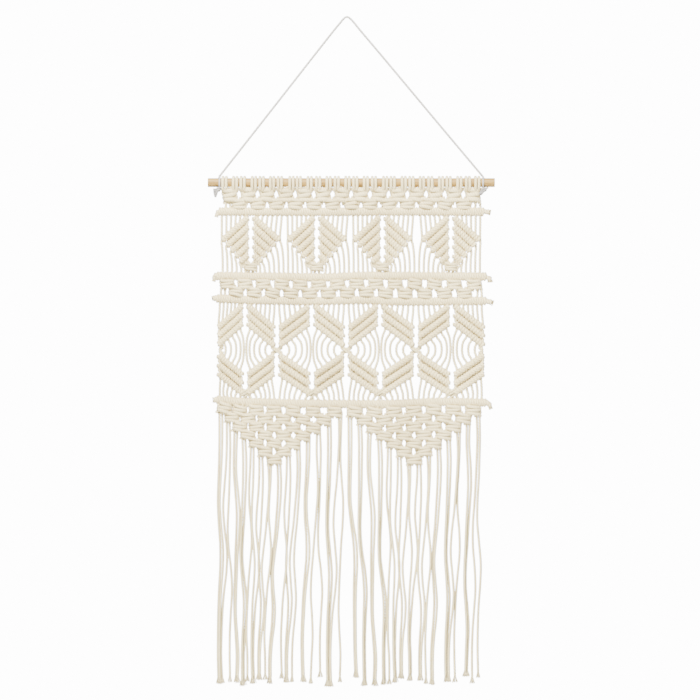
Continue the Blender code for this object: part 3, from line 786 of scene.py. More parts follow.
@dataclass
class Cloth:
    """The plan that the cloth's sections share, about the panel's own middle.

    Attributes:
        middle: X of the panel's middle.
        rod_height: Z of the rod's middle.
        heads: How many cords are mounted on the rod.
        heading_width: Width of the first band.
        leaf_width: Width of everything below the diamonds.
        bar_half: Half the height of a bar of hitches.
        band_top: Z of the first band's upper edge.
        bars: Each bar's middle line as X and Z in millimetres, as it sags and rises.
        bury: How far a strand runs into what holds it.
        behind: How far behind the cloth's middle a strand runs behind a leaf.
    """

    middle: float
    rod_height: float
    heads: int = 28
    heading_width: float = 365.0 * MM
    leaf_width: float = 371.0 * MM
    bar_half: float = 5.2 * MM
    band_top: float = -240.5 * MM
    bars: Sequence[Sequence[tuple[float, float]]] = (
        ((-190.0, -270.0), (-60.0, -270.5), (70.0, -269.9), (190.0, -270.3)),
        ((-190.0, -359.8), (-130.0, -360.4), (-40.0, -362.0), (20.0, -359.5), (190.0, -360.5)),
        (
            (-190.0, -391.2), (-130.0, -393.6), (-60.0, -394.8),
            (25.0, -393.2), (60.0, -395.5), (190.0, -394.6),
        ),
        (
            (-190.0, -532.0), (-150.0, -535.5), (-50.0, -538.0),
            (40.0, -538.5), (130.0, -535.2), (190.0, -536.4),
        ),
    )
    bury: float = 1.6 * MM
    behind: float = 1.4 * MM

    def at(self, x: float, z: float, y: float = 0.0) -> Vector:
        """A point of the panel, from its own middle."""
        return Vector((self.middle + x, y, z))

    def line(self, *places: Sequence[float]) -> Line:
        """A line of such points, each given as X, Z and, off the cloth's middle, Y."""
        return [self.at(*place) for place in places]

    def bar_height(self, number: int, x: float) -> float:
        """Height of a bar's middle line at a place along it.

        Args:
            number: The bar's number, from the top.
            x: The place, from the panel's middle.

        Returns:
            The line's Z.
        """
        line = self.bars[number]
        for (low, start), (high, end) in zip(line, line[1:]):
            if x <= high * MM:
                break
        share = min(max((x / MM - low) / (high - low), 0.0), 1.0)
        return (start + (end - start) * eased(share)) * MM

    def bar_top(self, number: int, x: float = 0.0) -> float:
        """Height of a bar's upper edge."""
        return self.bar_height(number, x) + self.bar_half

    def bar_foot(self, number: int, x: float = 0.0) -> float:
        """Height of a bar's lower edge."""
        return self.bar_height(number, x) - self.bar_half


def eased(share: float) -> float:
    """A share from 0 to 1 that starts and ends gently."""
    return share * share * (3 - 2 * share)


@dataclass
class Workshop:
    """What every section is made with.

    Attributes:
        cloth: The shared plan.
        spinner: Spins cords.
        tier: Ties rows of knots.
        cotton: Finish of the working cord.
        hitch: The double half hitch to copy.
        square_knot: The square knot to copy.
        head: The lark's head to copy.
        knots: The sizes of the three.
    """

    cloth: Cloth
    spinner: CordSpinner
    tier: KnotTier
    cotton: Finish
    hitch: Piece
    square_knot: Piece
    head: Piece
    knots: Knots

    def tie_rows(self, name: str, rows: Sequence[Row], across: float, seed: int) -> Piece:
        """Tie rows of hitches side by side and seat them on the hanging.

        Args:
            name: The piece's name.
            rows: Each row's line from left to right and its number of hitches.
            across: The hitches' size across the row.
            seed: Picks their small turns.

        Returns:
            The piece.
        """
        places = [spread(*row) for row in rows]
        lengths = [sum(lengths_of(line)) / count / self.knots.hitch_length for line, count in rows]
        size = (1.0, 1.0, across)
        hitches = self.tier.tie(name, places, self.hitch, self.cotton, lengths, size, seed=seed)
        return seat(hitches, WORKING_COTTON, PANEL)

    def tie_squares(
        self, name: str, rows: Sequence[Line], size: Point, unevenness: float, seed: int
    ) -> Piece:
        """Tie rows of square knots.

        Args:
            name: The piece's name.
            rows: The knots' places in each row.
            size: The knots' size along the row, through the cloth and across the row.
            unevenness: The most that a knot is turned, in radians.
            seed: Picks the turns.

        Returns:
            The piece.
        """
        return self.tier.tie(name, rows, self.square_knot, self.cotton, None, size, unevenness, seed)

    def hang(self, name: str, lines: Sequence[Line], cord: Cord, *nodes: str) -> Piece:
        """Spin strands and seat them on the hanging."""
        return seat(self.spinner.spin(name, lines, cord, self.cotton), WORKING_COTTON, *nodes)


@dataclass
class Heading:
    """The lark's heads on the rod.

    Attributes:
        shop: What the section is made with.
        apart: How far a knot's two heads are pushed away from each other.
        seed: Picks the heads' small shifts along the rod.
        shift: The most that a head is shifted.
        width: The heads' width as a share of the pattern's.
        inset: How far the first and the last head are moved to the right.
        unevenness: The most that a head is turned, in radians.
        knot_seed: Picks the heads' small turns.
        parting: A strand that parts from a head towards the knot below, as X outwards, Y and Z from
            the rod's middle between two heads, in millimetres.
        inner: Y and Z of the cord that runs behind the heads, from the rod's middle.
    """

    shop: Workshop
    apart: float = 1.1 * MM
    seed: int = 3
    shift: float = 0.6 * MM
    width: float = 1.02
    inset: tuple[float, float] = (0.9 * MM, -1.7 * MM)
    unevenness: float = 0.02
    knot_seed: int = 11
    parting: Sequence[Point] = ((1.6, -1.8, -7.4), (1.7, -2.2, -11.0), (4.2, -2.0, -14.0), (6.4, -1.6, -17.4))
    inner: tuple[float, float] = (6.4 * MM, -8.2 * MM)

    def build(self) -> None:
        """Tie the heads along the rod."""
        cloth = self.shop.cloth
        half = cloth.heading_width / 2
        pitch = cloth.heading_width / cloth.heads
        chance = random.Random(self.seed)
        moved = {0: self.inset[0], cloth.heads - 1: self.inset[1]}
        row = []
        for index in range(cloth.heads):
            side = -1 if index % 2 == 0 else 1
            x = (index + 0.5) * pitch - half + side * self.apart + moved.get(index, 0.0)
            row.append(cloth.at(x + chance.uniform(-self.shift, self.shift), cloth.rod_height))
        size = (self.width, 1.0, 1.0)
        heads = self.shop.tier.tie(
            "lark_heads", [row], self.shop.head, self.shop.cotton, None, size, self.unevenness, self.knot_seed
        )
        seat(heads, WORKING_COTTON, PANEL)
        inside = half - pitch / 2
        strands = []
        for index in range(1, cloth.heads, 2):
            gap = (index + 1) * pitch - half
            for side in SIDES:
                if abs(gap) > inside and side * gap > 0:
                    continue
                turned = in_mm(*((side * x, y, z) for x, y, z in self.parting))
                strands.append([cloth.at(gap, cloth.rod_height) + place for place in turned])
        depth, drop = self.inner
        strands.append([cloth.at(x, cloth.rod_height + drop, depth) for x in (-inside, 0.0, inside)])
        self.shop.hang("heading_strands", strands, HANGING_TWIST, PANEL)


@dataclass
class KnotBand:
    """Rows of square knots, each half a knot out of step with the one above.

    Attributes:
        shop: What the band is made with.
        name: The piece's name.
        counts: How many knots each row holds.
        spacing: Distance between the knots of a row.
        row_height: Height of a row.
        height: Gives the Z of a row's middle at a place along it.
        middle: X of the band's middle, from the panel's.
        crowding: How far the knots at the middle are moved to the left.
        fullness: The knots' width as a share of the pattern's.
        stretches: The knots' height as a share of their row's, for the first rows and then all others.
        unevenness: The most that a knot is turned, in radians.
        seed: Picks the knots' small turns.
    """

    shop: Workshop
    name: str
    counts: Sequence[int]
    spacing: float
    row_height: float
    height: Callable[[int, float], float]
    middle: float = 0.0
    crowding: float = 0.0
    fullness: float = 1.0
    stretches: Sequence[float] = (1.0,)
    unevenness: float = 0.14
    seed: int = 1

    def knot_row(self, row: int) -> Line:
        """The places of a row's knots.

        Args:
            row: The row's number, from the top.

        Returns:
            The knots' middles, from left to right.
        """
        places = []
        for index in range(self.counts[row]):
            step = 2 * index - self.counts[row] + 1
            x = self.middle + step * self.spacing / 2 + self.crowding * ((step / max(self.counts)) ** 2 - 1)
            places.append(self.shop.cloth.at(x, self.height(row, x)))
        return places

    def build(self) -> Piece:
        """Tie the band.

        Returns:
            The piece.
        """
        knots = self.shop.knots
        wide = self.spacing / knots.knot_spacing * self.fullness
        pieces = []
        for row in range(len(self.counts)):
            stretch = self.stretches[min(row, len(self.stretches) - 1)]
            size = (wide, 1.0, self.row_height / knots.row_height * stretch)
            name = self.name if row == 0 else f"{self.name}_{row}"
            rows = [self.knot_row(row)]
            pieces.append(self.shop.tie_squares(name, rows, size, self.unevenness, self.seed + row))
        return join(pieces)


@dataclass
class Bands:
    """The two bands of square knots that run the full width.

    Attributes:
        shop: What the bands are made with.
        sides: For each band and side, how far the two strands that pass its short row are moved to
            the right, and half the distance between them, in millimetres.
        levels: Where the first band's rows lie, as shares of its height from the top.
        stretches: For each band, its knots' height as a share of their row's, row by row.
        leaf_crowding: How far the second band's knots are moved to the left at its middle.
        seed: Picks the knots' small turns.
    """

    shop: Workshop
    sides: Sequence[Sequence[tuple[int, float, float]]] = (
        ((-1, 4.2, 2.7), (1, 0.5, 3.0)),
        ((-1, 0.0, 2.6), (1, 0.0, 2.6)),
    )
    levels: tuple[float, float] = (0.27, 0.77)
    stretches: Sequence[Sequence[float]] = ((1.42, 1.1), (1.06, 1.06))
    leaf_crowding: float = 5.6 * MM
    seed: int = 21

    def build(self) -> None:
        """Tie both bands and run the strands past their short rows."""
        cloth = self.shop.cloth
        knots = cloth.heads // 2
        strands = []

        def heading_height(row: int, x: float) -> float:
            """Z of a row of the first band."""
            foot = cloth.bar_top(0, x)
            return cloth.band_top + (foot - cloth.band_top) * self.levels[row]

        def leaf_height(row: int, x: float) -> float:
            """Z of a row of the second band."""
            top, foot = cloth.bar_foot(1, x), cloth.bar_top(2, x)
            return top + (foot - top) * (row + 0.5) / 2

        plans = (
            ("heading_band", cloth.heading_width, heading_height, 0.0),
            ("leaf_band", cloth.leaf_width, leaf_height, self.leaf_crowding),
        )
        for number, (name, width, height, crowding) in enumerate(plans):
            row_height = height(0, 0.0) - height(1, 0.0)
            band = KnotBand(
                self.shop, name, (knots, knots - 1), width / knots, row_height, height,
                crowding=crowding, stretches=self.stretches[number], seed=self.seed + number,
            )
            seat(band.build(), WORKING_COTTON, PANEL)
            for side, moved, apart in self.sides[number]:
                edge = side * (width / 2 - width / cloth.heads / 2) + moved * MM
                waist = (height(0, edge) + height(1, edge)) / 2
                foot = height(1, edge) - row_height / 2
                for offset in (-apart * MM, apart * MM):
                    strands.append(cloth.line(
                        (edge + offset * 0.6, waist + 3 * MM),
                        (edge + offset, waist - 3 * MM),
                        (edge + offset * 1.2, foot - cloth.bury),
                    ))
        self.shop.hang("side_strands", strands, HANGING_TWIST, PANEL)


@dataclass
class Bars:
    """Four bars of double half hitches, each over a filler cord whose ends are frayed.

    Attributes:
        shop: What the bars are made with.
        overhang: How far a bar reaches past its band at each side.
        across: The hitches' size across the bar.
        ends: For each filler end its bar, its side, the X outwards, Z and half thickness of its points
            from the bar's end, and the X and Z of the tips of its fibres, in millimetres.
        fullness: The ends' thickness as a share of their points' own.
        fibres: How many fibres an end opens into.
        steps: How many stretches a bar's line has.
        seed: Picks the fibres and the hitches' small turns.
    """

    shop: Workshop
    overhang: float = 2.5 * MM
    across: float = 1.22
    ends: Sequence[tuple[int, int, Sequence[Point], tuple[float, float]]] = (
        (0, -1, ((-4.0, 0.0, 4.0), (0.5, -1.0, 3.7), (2.6, -5.2, 2.6)), (3.4, -8.0)),
        (0, 1, ((-4.0, 0.0, 3.6), (3.0, 0.2, 3.4), (6.6, -0.6, 3.6)), (9.6, -1.2)),
        (1, -1, ((-4.0, 0.0, 4.4), (1.4, 0.2, 4.0), (2.6, -3.2, 3.2), (3.0, -5.4, 2.6)), (3.8, -8.0)),
        (1, 1, ((-4.0, -0.6, 3.2), (0.5, -1.6, 2.8), (3.4, -1.8, 3.8), (5.2, -4.6, 3.4)), (5.6, -8.6)),
        (2, -1, ((-4.0, 0.0, 4.2), (2.2, 0.5, 4.0), (4.6, 0.4, 3.4)), (6.6, 0.0)),
        (2, 1, ((-4.0, -0.2, 4.0), (3.0, -0.6, 3.6), (6.8, -1.8, 3.8)), (10.4, -3.0)),
        (3, -1, ((-4.0, 0.0, 4.2), (1.8, -0.4, 4.0), (3.6, -0.6, 3.6)), (5.6, -0.8)),
        (3, 1, ((-4.0, 0.0, 4.2), (2.0, -0.6, 4.0), (4.6, -3.2, 3.4), (5.6, -6.0, 2.6)), (7.0, -9.4)),
    )
    fullness: float = 1.2
    fibres: int = 44
    steps: int = 40
    seed: int = 31

    def half_width(self, bar: int) -> float:
        """Half a bar's length.

        Args:
            bar: The bar's number, from the top.

        Returns:
            From the panel's middle to the bar's end.
        """
        cloth = self.shop.cloth
        width = cloth.heading_width if bar == 0 else cloth.leaf_width
        return width / 2 + self.overhang

    def build(self) -> None:
        """Tie the bars and lay their filler ends."""
        cloth = self.shop.cloth
        rows, fillers, sizes, fibres = [], [], [], []
        for bar in range(len(cloth.bars)):
            half = self.half_width(bar)
            places = [half * (2 * step / self.steps - 1) for step in range(self.steps + 1)]
            line = [cloth.at(x, cloth.bar_height(bar, x)) for x in places]
            rows.append((line, 2 * cloth.heads))
            fillers.append(line)
            sizes.append([1.0] * len(line))
        self.shop.tie_rows("hitched_bars", rows, self.across, self.seed + 1)
        chance = random.Random(self.seed)
        for bar, side, points, fray in self.ends:
            start = side * self.half_width(bar)
            height = cloth.bar_height(bar, start)
            line = [cloth.at(start + side * x * MM, height + z * MM) for x, z, _ in points]
            tip = cloth.at(start + side * fray[0] * MM, height + fray[1] * MM)
            fillers.append(line)
            sizes.append([half * self.fullness * MM / HANGING_TWIST.radius for _, _, half in points])
            thickness = points[-1][2] * self.fullness * MM
            fibres += frayed(line[-1], tip, thickness, self.fibres, chance, thickness * 0.9)
        spun = self.shop.spinner.spin("filler_cords", fillers, HANGING_TWIST, self.shop.cotton, sizes)
        seat(spun, WORKING_COTTON, PANEL)
        self.shop.hang("filler_frays", fibres, FIBRE, PANEL)


def frayed(
    start: Vector,
    tip: Vector,
    spread_to: float,
    count: int,
    chance: random.Random,
    spread_from: float = 1.1 * MM,
) -> list[Line]:
    """Open a cord's end into fibres.

    Args:
        start: Where the cord comes apart.
        tip: The middle of the frayed end.
        spread_to: How far from the middle the outermost fibres end.
        count: How many fibres there are.
        chance: Picks each fibre's way.
        spread_from: How far from the middle the outermost fibres start.

    Returns:
        The fibres' lines, each rooted in the cord and a little shorter than the fray.
    """
    run = tip - start
    across = run.orthogonal().normalized()
    other = run.cross(across).normalized()
    rooted, bend, shortest = 0.12, 0.45, 0.82
    half_way = spread_from + (spread_to - spread_from) * bend
    lines = []
    for _ in range(count):
        turn = chance.uniform(0, math.tau)
        out = (across * math.cos(turn) + other * math.sin(turn)) * math.sqrt(chance.random())
        length = chance.uniform(shortest, 1.0)
        lines.append([
            start - run * rooted + out * spread_from * 0.9,
            start + run * bend * length + out * half_way,
            start + run * length + out * spread_to,
        ])
    return lines


@dataclass(frozen=True)
class Half:
    """One half of a diamond.

    Attributes:
        slit: X of the diamond's slit.
        section: X of the middle of the diamond's own strands at the bars.
        side: The side of the slit that the half is on.
    """

    slit: float
    section: float
    side: int


@dataclass
class Diamonds:
    """Four diamonds, each of two leaves of hitches that lean away from a slit.

    Attributes:
        shop: What the section is made with.
        slits: X of each diamond's slit.
        half_width: From a slit to a diamond's outer corner.
        slit_half: Half a slit's width.
        top: Z of the leaves' upper corners.
        bottom: Z of their lower corners.
        slope: How steeply the rows fall.
        row_height: Height of a row at the slit.
        counts: The hitches of each row.
        across: The hitches' size across their row.
        longer: How far a row's last wrap reaches past its end.
        gather: How far the strands are gathered from the slit to their own section at the first bar.
        joint_height: Z of the knot that closes a diamond.
        joint_size: That knot's size along its row, through the cloth and across the row.
        unevenness: The most that it is turned, in radians.
        seed: Picks the knots' small turns.
    """

    shop: Workshop
    slits: Sequence[float] = (-140.0 * MM, -48.0 * MM, 43.5 * MM, 139.0 * MM)
    half_width: float = 41.5 * MM
    slit_half: float = 3.8 * MM
    top: float = -271.5 * MM
    bottom: float = -351.0 * MM
    slope: float = 0.90
    row_height: float = 13.1 * MM
    counts: Sequence[int] = (6, 5, 4, 3, 2)
    across: float = 0.92
    longer: float = 1.2 * MM
    gather: float = 0.4
    joint_height: float = -347.0 * MM
    joint_size: Point = (0.88, 0.9, 0.78)
    unevenness: float = 0.05
    seed: int = 41

    def run(self, height: float) -> float:
        """How far out a row that starts at a height runs."""
        lower_slope = (self.top - self.bottom) / (self.half_width - self.slit_half) - self.slope
        return (height - self.bottom) / (self.slope + lower_slope)

    def hitch(self) -> float:
        """How far a hitch of the first row reaches to the side."""
        return (self.half_width - self.slit_half) / self.counts[0]

    def build(self) -> None:
        """Tie the leaves and run the strands above, behind and below them."""
        cloth = self.shop.cloth
        rows, strands, joints = [], [], []
        for number, slit in enumerate(self.slits):
            section = (number - (len(self.slits) - 1) / 2) * cloth.heading_width / len(self.slits)
            for side in SIDES:
                half = Half(slit, section, side)
                leaf = self.leaf_rows(half)
                rows += [(from_left(row, side), count) for row, count in zip(leaf, self.counts)]
                strands += self.strands_above(half) + self.strands_behind(half) + self.strands_below(half)
                strands += edge_loops([start for start, _ in leaf], -side)
                strands += grooves(leaf)
            joints.append([cloth.at(slit, self.joint_height)])
        self.shop.tie_rows("diamond_leaves", rows, self.across, self.seed)
        closing = self.shop.tie_squares(
            "diamond_joints", joints, self.joint_size, self.unevenness, self.seed + 1
        )
        seat(closing, WORKING_COTTON, PANEL)
        self.shop.hang("diamond_strands", strands, HANGING_TWIST, PANEL)

    def leaf_rows(self, half: Half) -> list[Line]:
        """The rows of one leaf, from the slit outwards.

        Args:
            half: The diamond's half.

        Returns:
            Each row's end at the slit and its outer end.
        """
        rows = []
        for row in range(len(self.counts)):
            height = self.top - (row + 0.5) * self.row_height
            run = self.run(height) + self.longer
            start = self.shop.cloth.at(half.slit + half.side * self.slit_half, height)
            rows.append([start, start + Vector((half.side * run, 0.0, -self.slope * run))])
        return rows

    def strands_above(self, half: Half) -> list[Line]:
        """The strands from the first bar to a leaf's first row.

        Args:
            half: The diamond's half.

        Returns:
            The strands' lines.
        """
        cloth = self.shop.cloth
        spacing = cloth.heading_width / (2 * cloth.heads)
        lines = []
        for strand in range(1, self.counts[0] + 1):
            run = strand * self.hitch() - 1.0 * MM
            gathered = half.slit + (half.section - half.slit) * self.gather
            start = gathered + half.side * (strand + 0.4) * spacing
            end = half.slit + half.side * (self.slit_half + run)
            above = cloth.bar_foot(0, start) + cloth.bury
            foot = min(self.top - self.slope * run, above - 5 * MM)
            lines.append(cloth.line(
                (start, above),
                (start + (end - start) * 0.12, above + (foot - above) * 0.25),
                (start + (end - start) * 0.8, above + (foot - above) * 0.8),
                (end, foot, 0.5 * MM),
                (end, foot - 5 * MM, 1.5 * MM),
            ))
        return lines

    def strands_behind(self, half: Half) -> list[Line]:
        """The working cords that run down behind a leaf's rows from one to the next.

        Args:
            half: The diamond's half.

        Returns:
            The strands' lines.
        """
        cloth = self.shop.cloth
        lines = []
        for strand in range(self.counts[0]):
            out = (strand + 0.5) * self.hitch()
            x = half.slit + half.side * (self.slit_half + out)
            top = self.top - self.row_height / 2 - self.slope * out
            edges = [self.top - row * self.row_height for row in range(len(self.counts))]
            last = [self.run(edge) > out for edge in edges].count(True) - 0.5
            foot = self.top - last * self.row_height - self.slope * out - 1 * MM
            lines.append([cloth.at(x, z, cloth.behind) for z in (top, (top + foot) / 2, foot)])
        return lines

    def strands_below(self, half: Half) -> list[Line]:
        """The holding cords from their rows' outer ends to the second bar, and the one that crosses the slit.

        Args:
            half: The diamond's half.

        Returns:
            The strands' lines.
        """
        cloth = self.shop.cloth
        spacing = cloth.heading_width / (2 * cloth.heads)
        rows = len(self.counts)
        along = Vector((half.side, 0.0, -self.slope)).normalized()
        lines = []
        for row in range(rows + 1):
            height = self.top - min(row + 0.5, rows) * self.row_height
            run = self.run(height)
            end = half.section + half.side * (rows - row + 1.5) * spacing
            corner = cloth.at(half.slit + half.side * (self.slit_half + run), height - self.slope * run)
            leaving = corner + along * 3.4 * MM
            foot = cloth.at(end, cloth.bar_top(1, end) - cloth.bury)
            bends = [
                Vector((leaving.x + (foot.x - leaving.x) * out, 0.0, leaving.z + (foot.z - leaving.z) * down))
                for out, down in ((0.62, 0.24), (0.96, 0.6))
            ]
            lines.append([corner - along * 6 * MM, corner, leaving, *bends, foot])
        tip = self.top - rows * self.row_height + 4 * MM
        crossed = half.slit - half.side * self.slit_half
        depth = half.side * 1.2 * MM
        lines.append(cloth.line(
            (half.slit + half.side * (self.slit_half + 3 * MM), tip),
            (half.slit + half.side * 2.4 * MM, self.joint_height + 4 * MM, depth),
            (half.slit - half.side * 1.8 * MM, self.joint_height - 4 * MM, depth),
            (crossed, cloth.bar_top(1, crossed) - cloth.bury),
        ))
        return lines


def from_left(row: Line, side: int) -> Line:
    """A row that starts at a slit, from left to right."""
    return row if side > 0 else row[::-1]


def grooves(rows: Sequence[Line]) -> list[Line]:
    """The cords that lie behind the joints of a leaf's rows.

    Args:
        rows: Each row's start and end, from the top.

    Returns:
        The cords' lines.
    """
    behind = Vector((0.0, 2.8 * MM, 0.0))
    lines = []
    for (start, end), (next_start, next_end) in zip(rows, rows[1:]):
        joint = start.lerp(next_start, 0.5) + behind
        run = min((end - start).length, (next_end - next_start).length) - 1 * MM
        along = (end - start).normalized()
        lines.append([joint + along * 2 * MM, joint + along * run])
    return lines


def edge_loops(row_ends: Sequence[Vector], outwards: int) -> list[Line]:
    """The turns of cord that join one row's end to the next along a leaf's edge.

    Args:
        row_ends: The rows' ends, from the top.
        outwards: The way out of the leaf.

    Returns:
        The turns' lines.
    """
    lines = []
    inside = Vector((-outwards * 3.4 * MM, 0.0, 0.0))
    turn = Vector((-outwards * 1.3 * MM, -0.8 * MM, 0.0))
    for high, low in zip(row_ends, row_ends[1:]):
        lines.append([high + inside, high.lerp(low, 0.25) + turn, high.lerp(low, 0.7) + turn, low + inside])
    return lines


@dataclass(frozen=True)
class Column:
    """One column of the leaves.

    Attributes:
        slit: X of its slit.
        crossing: X of its crossing.
        side: The way from the slit to the crossing.
    """

    slit: float
    crossing: float
    side: int


@dataclass
class Leaves:
    """Eight columns of leaves: upper ones fall away from the slits and lower ones fall towards them.

    Attributes:
        shop: What the section is made with.
        edges: X of each crossing and slit, in turn, from the left.
        slit_half: Half a slit's width.
        side_gap: From a crossing's line to a leaf's end.
        edge_gap: The same at the cloth's edges.
        tip_gap: From the crossing's height to a leaf's corner.
        crossing: Z of the crossings.
        drops: How far a row of each half falls from end to end, at most.
        slope: How steeply it falls in a narrow column.
        row_heights: Height of each half's rows.
        rows: Rows in a leaf.
        hitches: Hitches in a row.
        across: The hitches' size across their row.
        longer: How far a row's wraps reach past its end at the crossing.
        drawn: How much of its way the innermost strand is drawn in at half height.
        roundness: How evenly a strand between two leaves is bowed.
        bunch: How far the strands below the leaves bow towards the crossing.
        seed: Picks the hitches' small turns.
    """

    shop: Workshop
    edges: Sequence[float] = tuple(
        edge * MM for edge in (-186.0, -148.0, -104.0, -55.0, -7.0, 40.0, 90.0, 140.0, 185.0)
    )
    slit_half: float = 3.7 * MM
    side_gap: float = 4.2 * MM
    edge_gap: float = 0.8 * MM
    tip_gap: float = 0.7 * MM
    crossing: float = -463.3 * MM
    drops: tuple[float, float] = (31.0 * MM, 27.5 * MM)
    slope: float = 0.89
    row_heights: tuple[float, float] = (12.1 * MM, 12.7 * MM)
    rows: int = 3
    hitches: int = 6
    across: float = 0.88
    longer: float = 0.4 * MM
    drawn: float = 1.02
    roundness: float = 2.6
    bunch: float = 1.6 * MM
    seed: int = 51

    def columns(self) -> list[Column]:
        """The columns between neighbouring edges.

        Returns:
            The columns, from the left.
        """
        columns = []
        for number, (low, high) in enumerate(zip(self.edges, self.edges[1:])):
            columns.append(Column(high, low, -1) if number % 2 == 0 else Column(low, high, 1))
        return columns

    def level(self, row: float, lower: bool) -> float:
        """Height at the slit of a row.

        Args:
            row: The row's number for its upper edge, or half a row more for its middle.
            lower: Whether its leaf is a lower one.

        Returns:
            The row's Z there.
        """
        height = self.row_heights[lower]
        if lower:
            return self.crossing - self.tip_gap - self.drops[lower] - row * height
        return self.crossing + self.tip_gap + self.drops[lower] + (self.rows - row) * height

    def outermost(self, column: Column) -> bool:
        """Whether a column's crossing is the cloth's edge."""
        return abs(column.crossing) > max(abs(edge) for edge in self.edges) - 3 * MM

    def width(self, column: Column) -> float:
        """A leaf's width, up to the side gap or, at the cloth's edge, almost to the line itself."""
        gap = self.edge_gap if self.outermost(column) else self.side_gap
        return abs(column.crossing - column.slit) - self.slit_half - gap

    def fall(self, column: Column, lower: bool) -> float:
        """How far a leaf's rows fall from the slit to the crossing, or rise in a lower leaf."""
        return min(self.drops[lower], self.slope * self.width(column)) * (-1 if lower else 1)

    def leaf_rows(self, column: Column, lower: bool) -> list[Line]:
        """The rows of one leaf, from the slit to the crossing.

        Args:
            column: The leaf's column.
            lower: Whether it is a lower leaf.

        Returns:
            Each row's end at the slit and its end at the crossing.
        """
        width = self.width(column)
        along = Vector((column.side * width, 0.0, -self.fall(column, lower)))
        rows = []
        for row in range(self.rows):
            inner = column.slit + column.side * self.slit_half
            start = self.shop.cloth.at(inner, self.level(row + 0.5, lower))
            rows.append([start, start + along * (1 + self.longer / width)])
        return rows

    def build(self) -> None:
        """Tie the leaves and run the strands above, behind, between and below them."""
        rows, strands = [], []
        for column in self.columns():
            for lower in (False, True):
                leaf = self.leaf_rows(column, lower)
                rows += [(from_left(row, column.side), self.hitches) for row in leaf]
                strands += grooves(leaf)
                strands += edge_loops([start for start, _ in leaf], -column.side)
                strands += edge_loops([end for _, end in leaf], column.side)
                strands += self.strands_behind(column, lower)
            strands += self.hanging_strands(column)
            strands += self.crossing_strands(column)
            if column.side < 0:
                strands += self.slit_joint(column.slit)
        self.shop.tie_rows("leaf_rows", rows, self.across, self.seed)
        self.shop.hang("leaf_strands", strands, HANGING_TWIST, PANEL)

    def strands_behind(self, column: Column, lower: bool) -> list[Line]:
        """The working cords that run down behind a leaf's rows from one to the next.

        Args:
            column: The leaf's column.
            lower: Whether it is a lower leaf.

        Returns:
            The strands' lines.
        """
        cloth = self.shop.cloth
        lines = []
        for strand in range(1, self.hitches + 1):
            share = (strand - 0.5) / self.hitches
            x = column.slit + column.side * (self.slit_half + self.width(column) * share)
            fall = self.fall(column, lower) * share
            levels = [self.level(row, lower) - fall for row in (0.5, self.rows / 2, self.rows - 0.5)]
            lines.append([cloth.at(x, level, cloth.behind) for level in levels])
        return lines

    def slit_joint(self, slit: float) -> list[Line]:
        """The cords that tie two lower leaves together across a slit.

        Args:
            slit: X of the slit.

        Returns:
            The cords' lines.
        """
        cloth = self.shop.cloth
        height = self.level(self.rows - 1.0, True)
        reach = self.slit_half + 3.0 * MM
        lines = []
        for side in SIDES:
            for drop in (0.0, 3.4 * MM):
                lines.append(cloth.line(
                    (slit - side * reach, height + 1.0 * MM - drop, -1.0 * MM),
                    (slit, height - 3.0 * MM - drop, -1.5 * MM + side * 1.3 * MM),
                    (slit + side * reach, height - 7.0 * MM - drop, -1.0 * MM),
                ))
            lines.append(cloth.line(
                (slit - side * reach * 0.7, height - 7.5 * MM, -1.0 * MM),
                (slit, height - 11.0 * MM, side * 1.3 * MM),
                (slit + side * reach * 0.5, cloth.bar_top(3, slit) - cloth.bury),
            ))
        return lines

    def hanging_strands(self, column: Column) -> list[Line]:
        """A column's strands above, between and below its leaves.

        Args:
            column: The column.

        Returns:
            The strands' lines.
        """
        cloth = self.shop.cloth
        slit, side = column.slit, column.side
        spacing = abs(column.crossing - slit) / (self.hitches + 1)
        lines = []
        for strand in range(1, self.hitches + 1):
            share = (strand - 0.5) / self.hitches
            at_leaf = slit + side * (self.slit_half + self.width(column) * share)
            at_bar = slit + side * (strand + 0.5) * spacing
            above = cloth.bar_foot(2, at_bar) + cloth.bury
            below = cloth.bar_top(3, at_bar) - cloth.bury
            top = min(self.level(0, False) - self.fall(column, False) * share, above - 2 * MM)
            into_leaf = at_leaf + side * 2.4 * MM
            lines.append(cloth.line(
                (at_bar, above),
                (at_bar + (into_leaf - at_bar) * 0.15, above + (top - above) * 0.45),
                (into_leaf, top, 0.4 * MM),
                (into_leaf, top - 5 * MM, cloth.behind),
            ))
            foot = self.level(self.rows, True) - self.fall(column, True) * share
            bow = side * self.bunch * math.sin(math.pi * share)
            lines.append(cloth.line(
                (at_leaf, foot + 4 * MM, 1.0 * MM),
                (at_leaf + bow * 0.4, foot - 1 * MM),
                ((at_leaf + at_bar) / 2 + bow, (foot + below) / 2),
                (at_bar, below),
            ))
            if strand < self.hitches:
                lines.append(self.eye_strand(column, at_leaf, share))
        lines.append(cloth.line(
            (slit + side * spacing / 2, cloth.bar_foot(2, slit) + cloth.bury),
            (slit + side * 5 * MM, self.level(0.5, False)),
        ))
        return lines

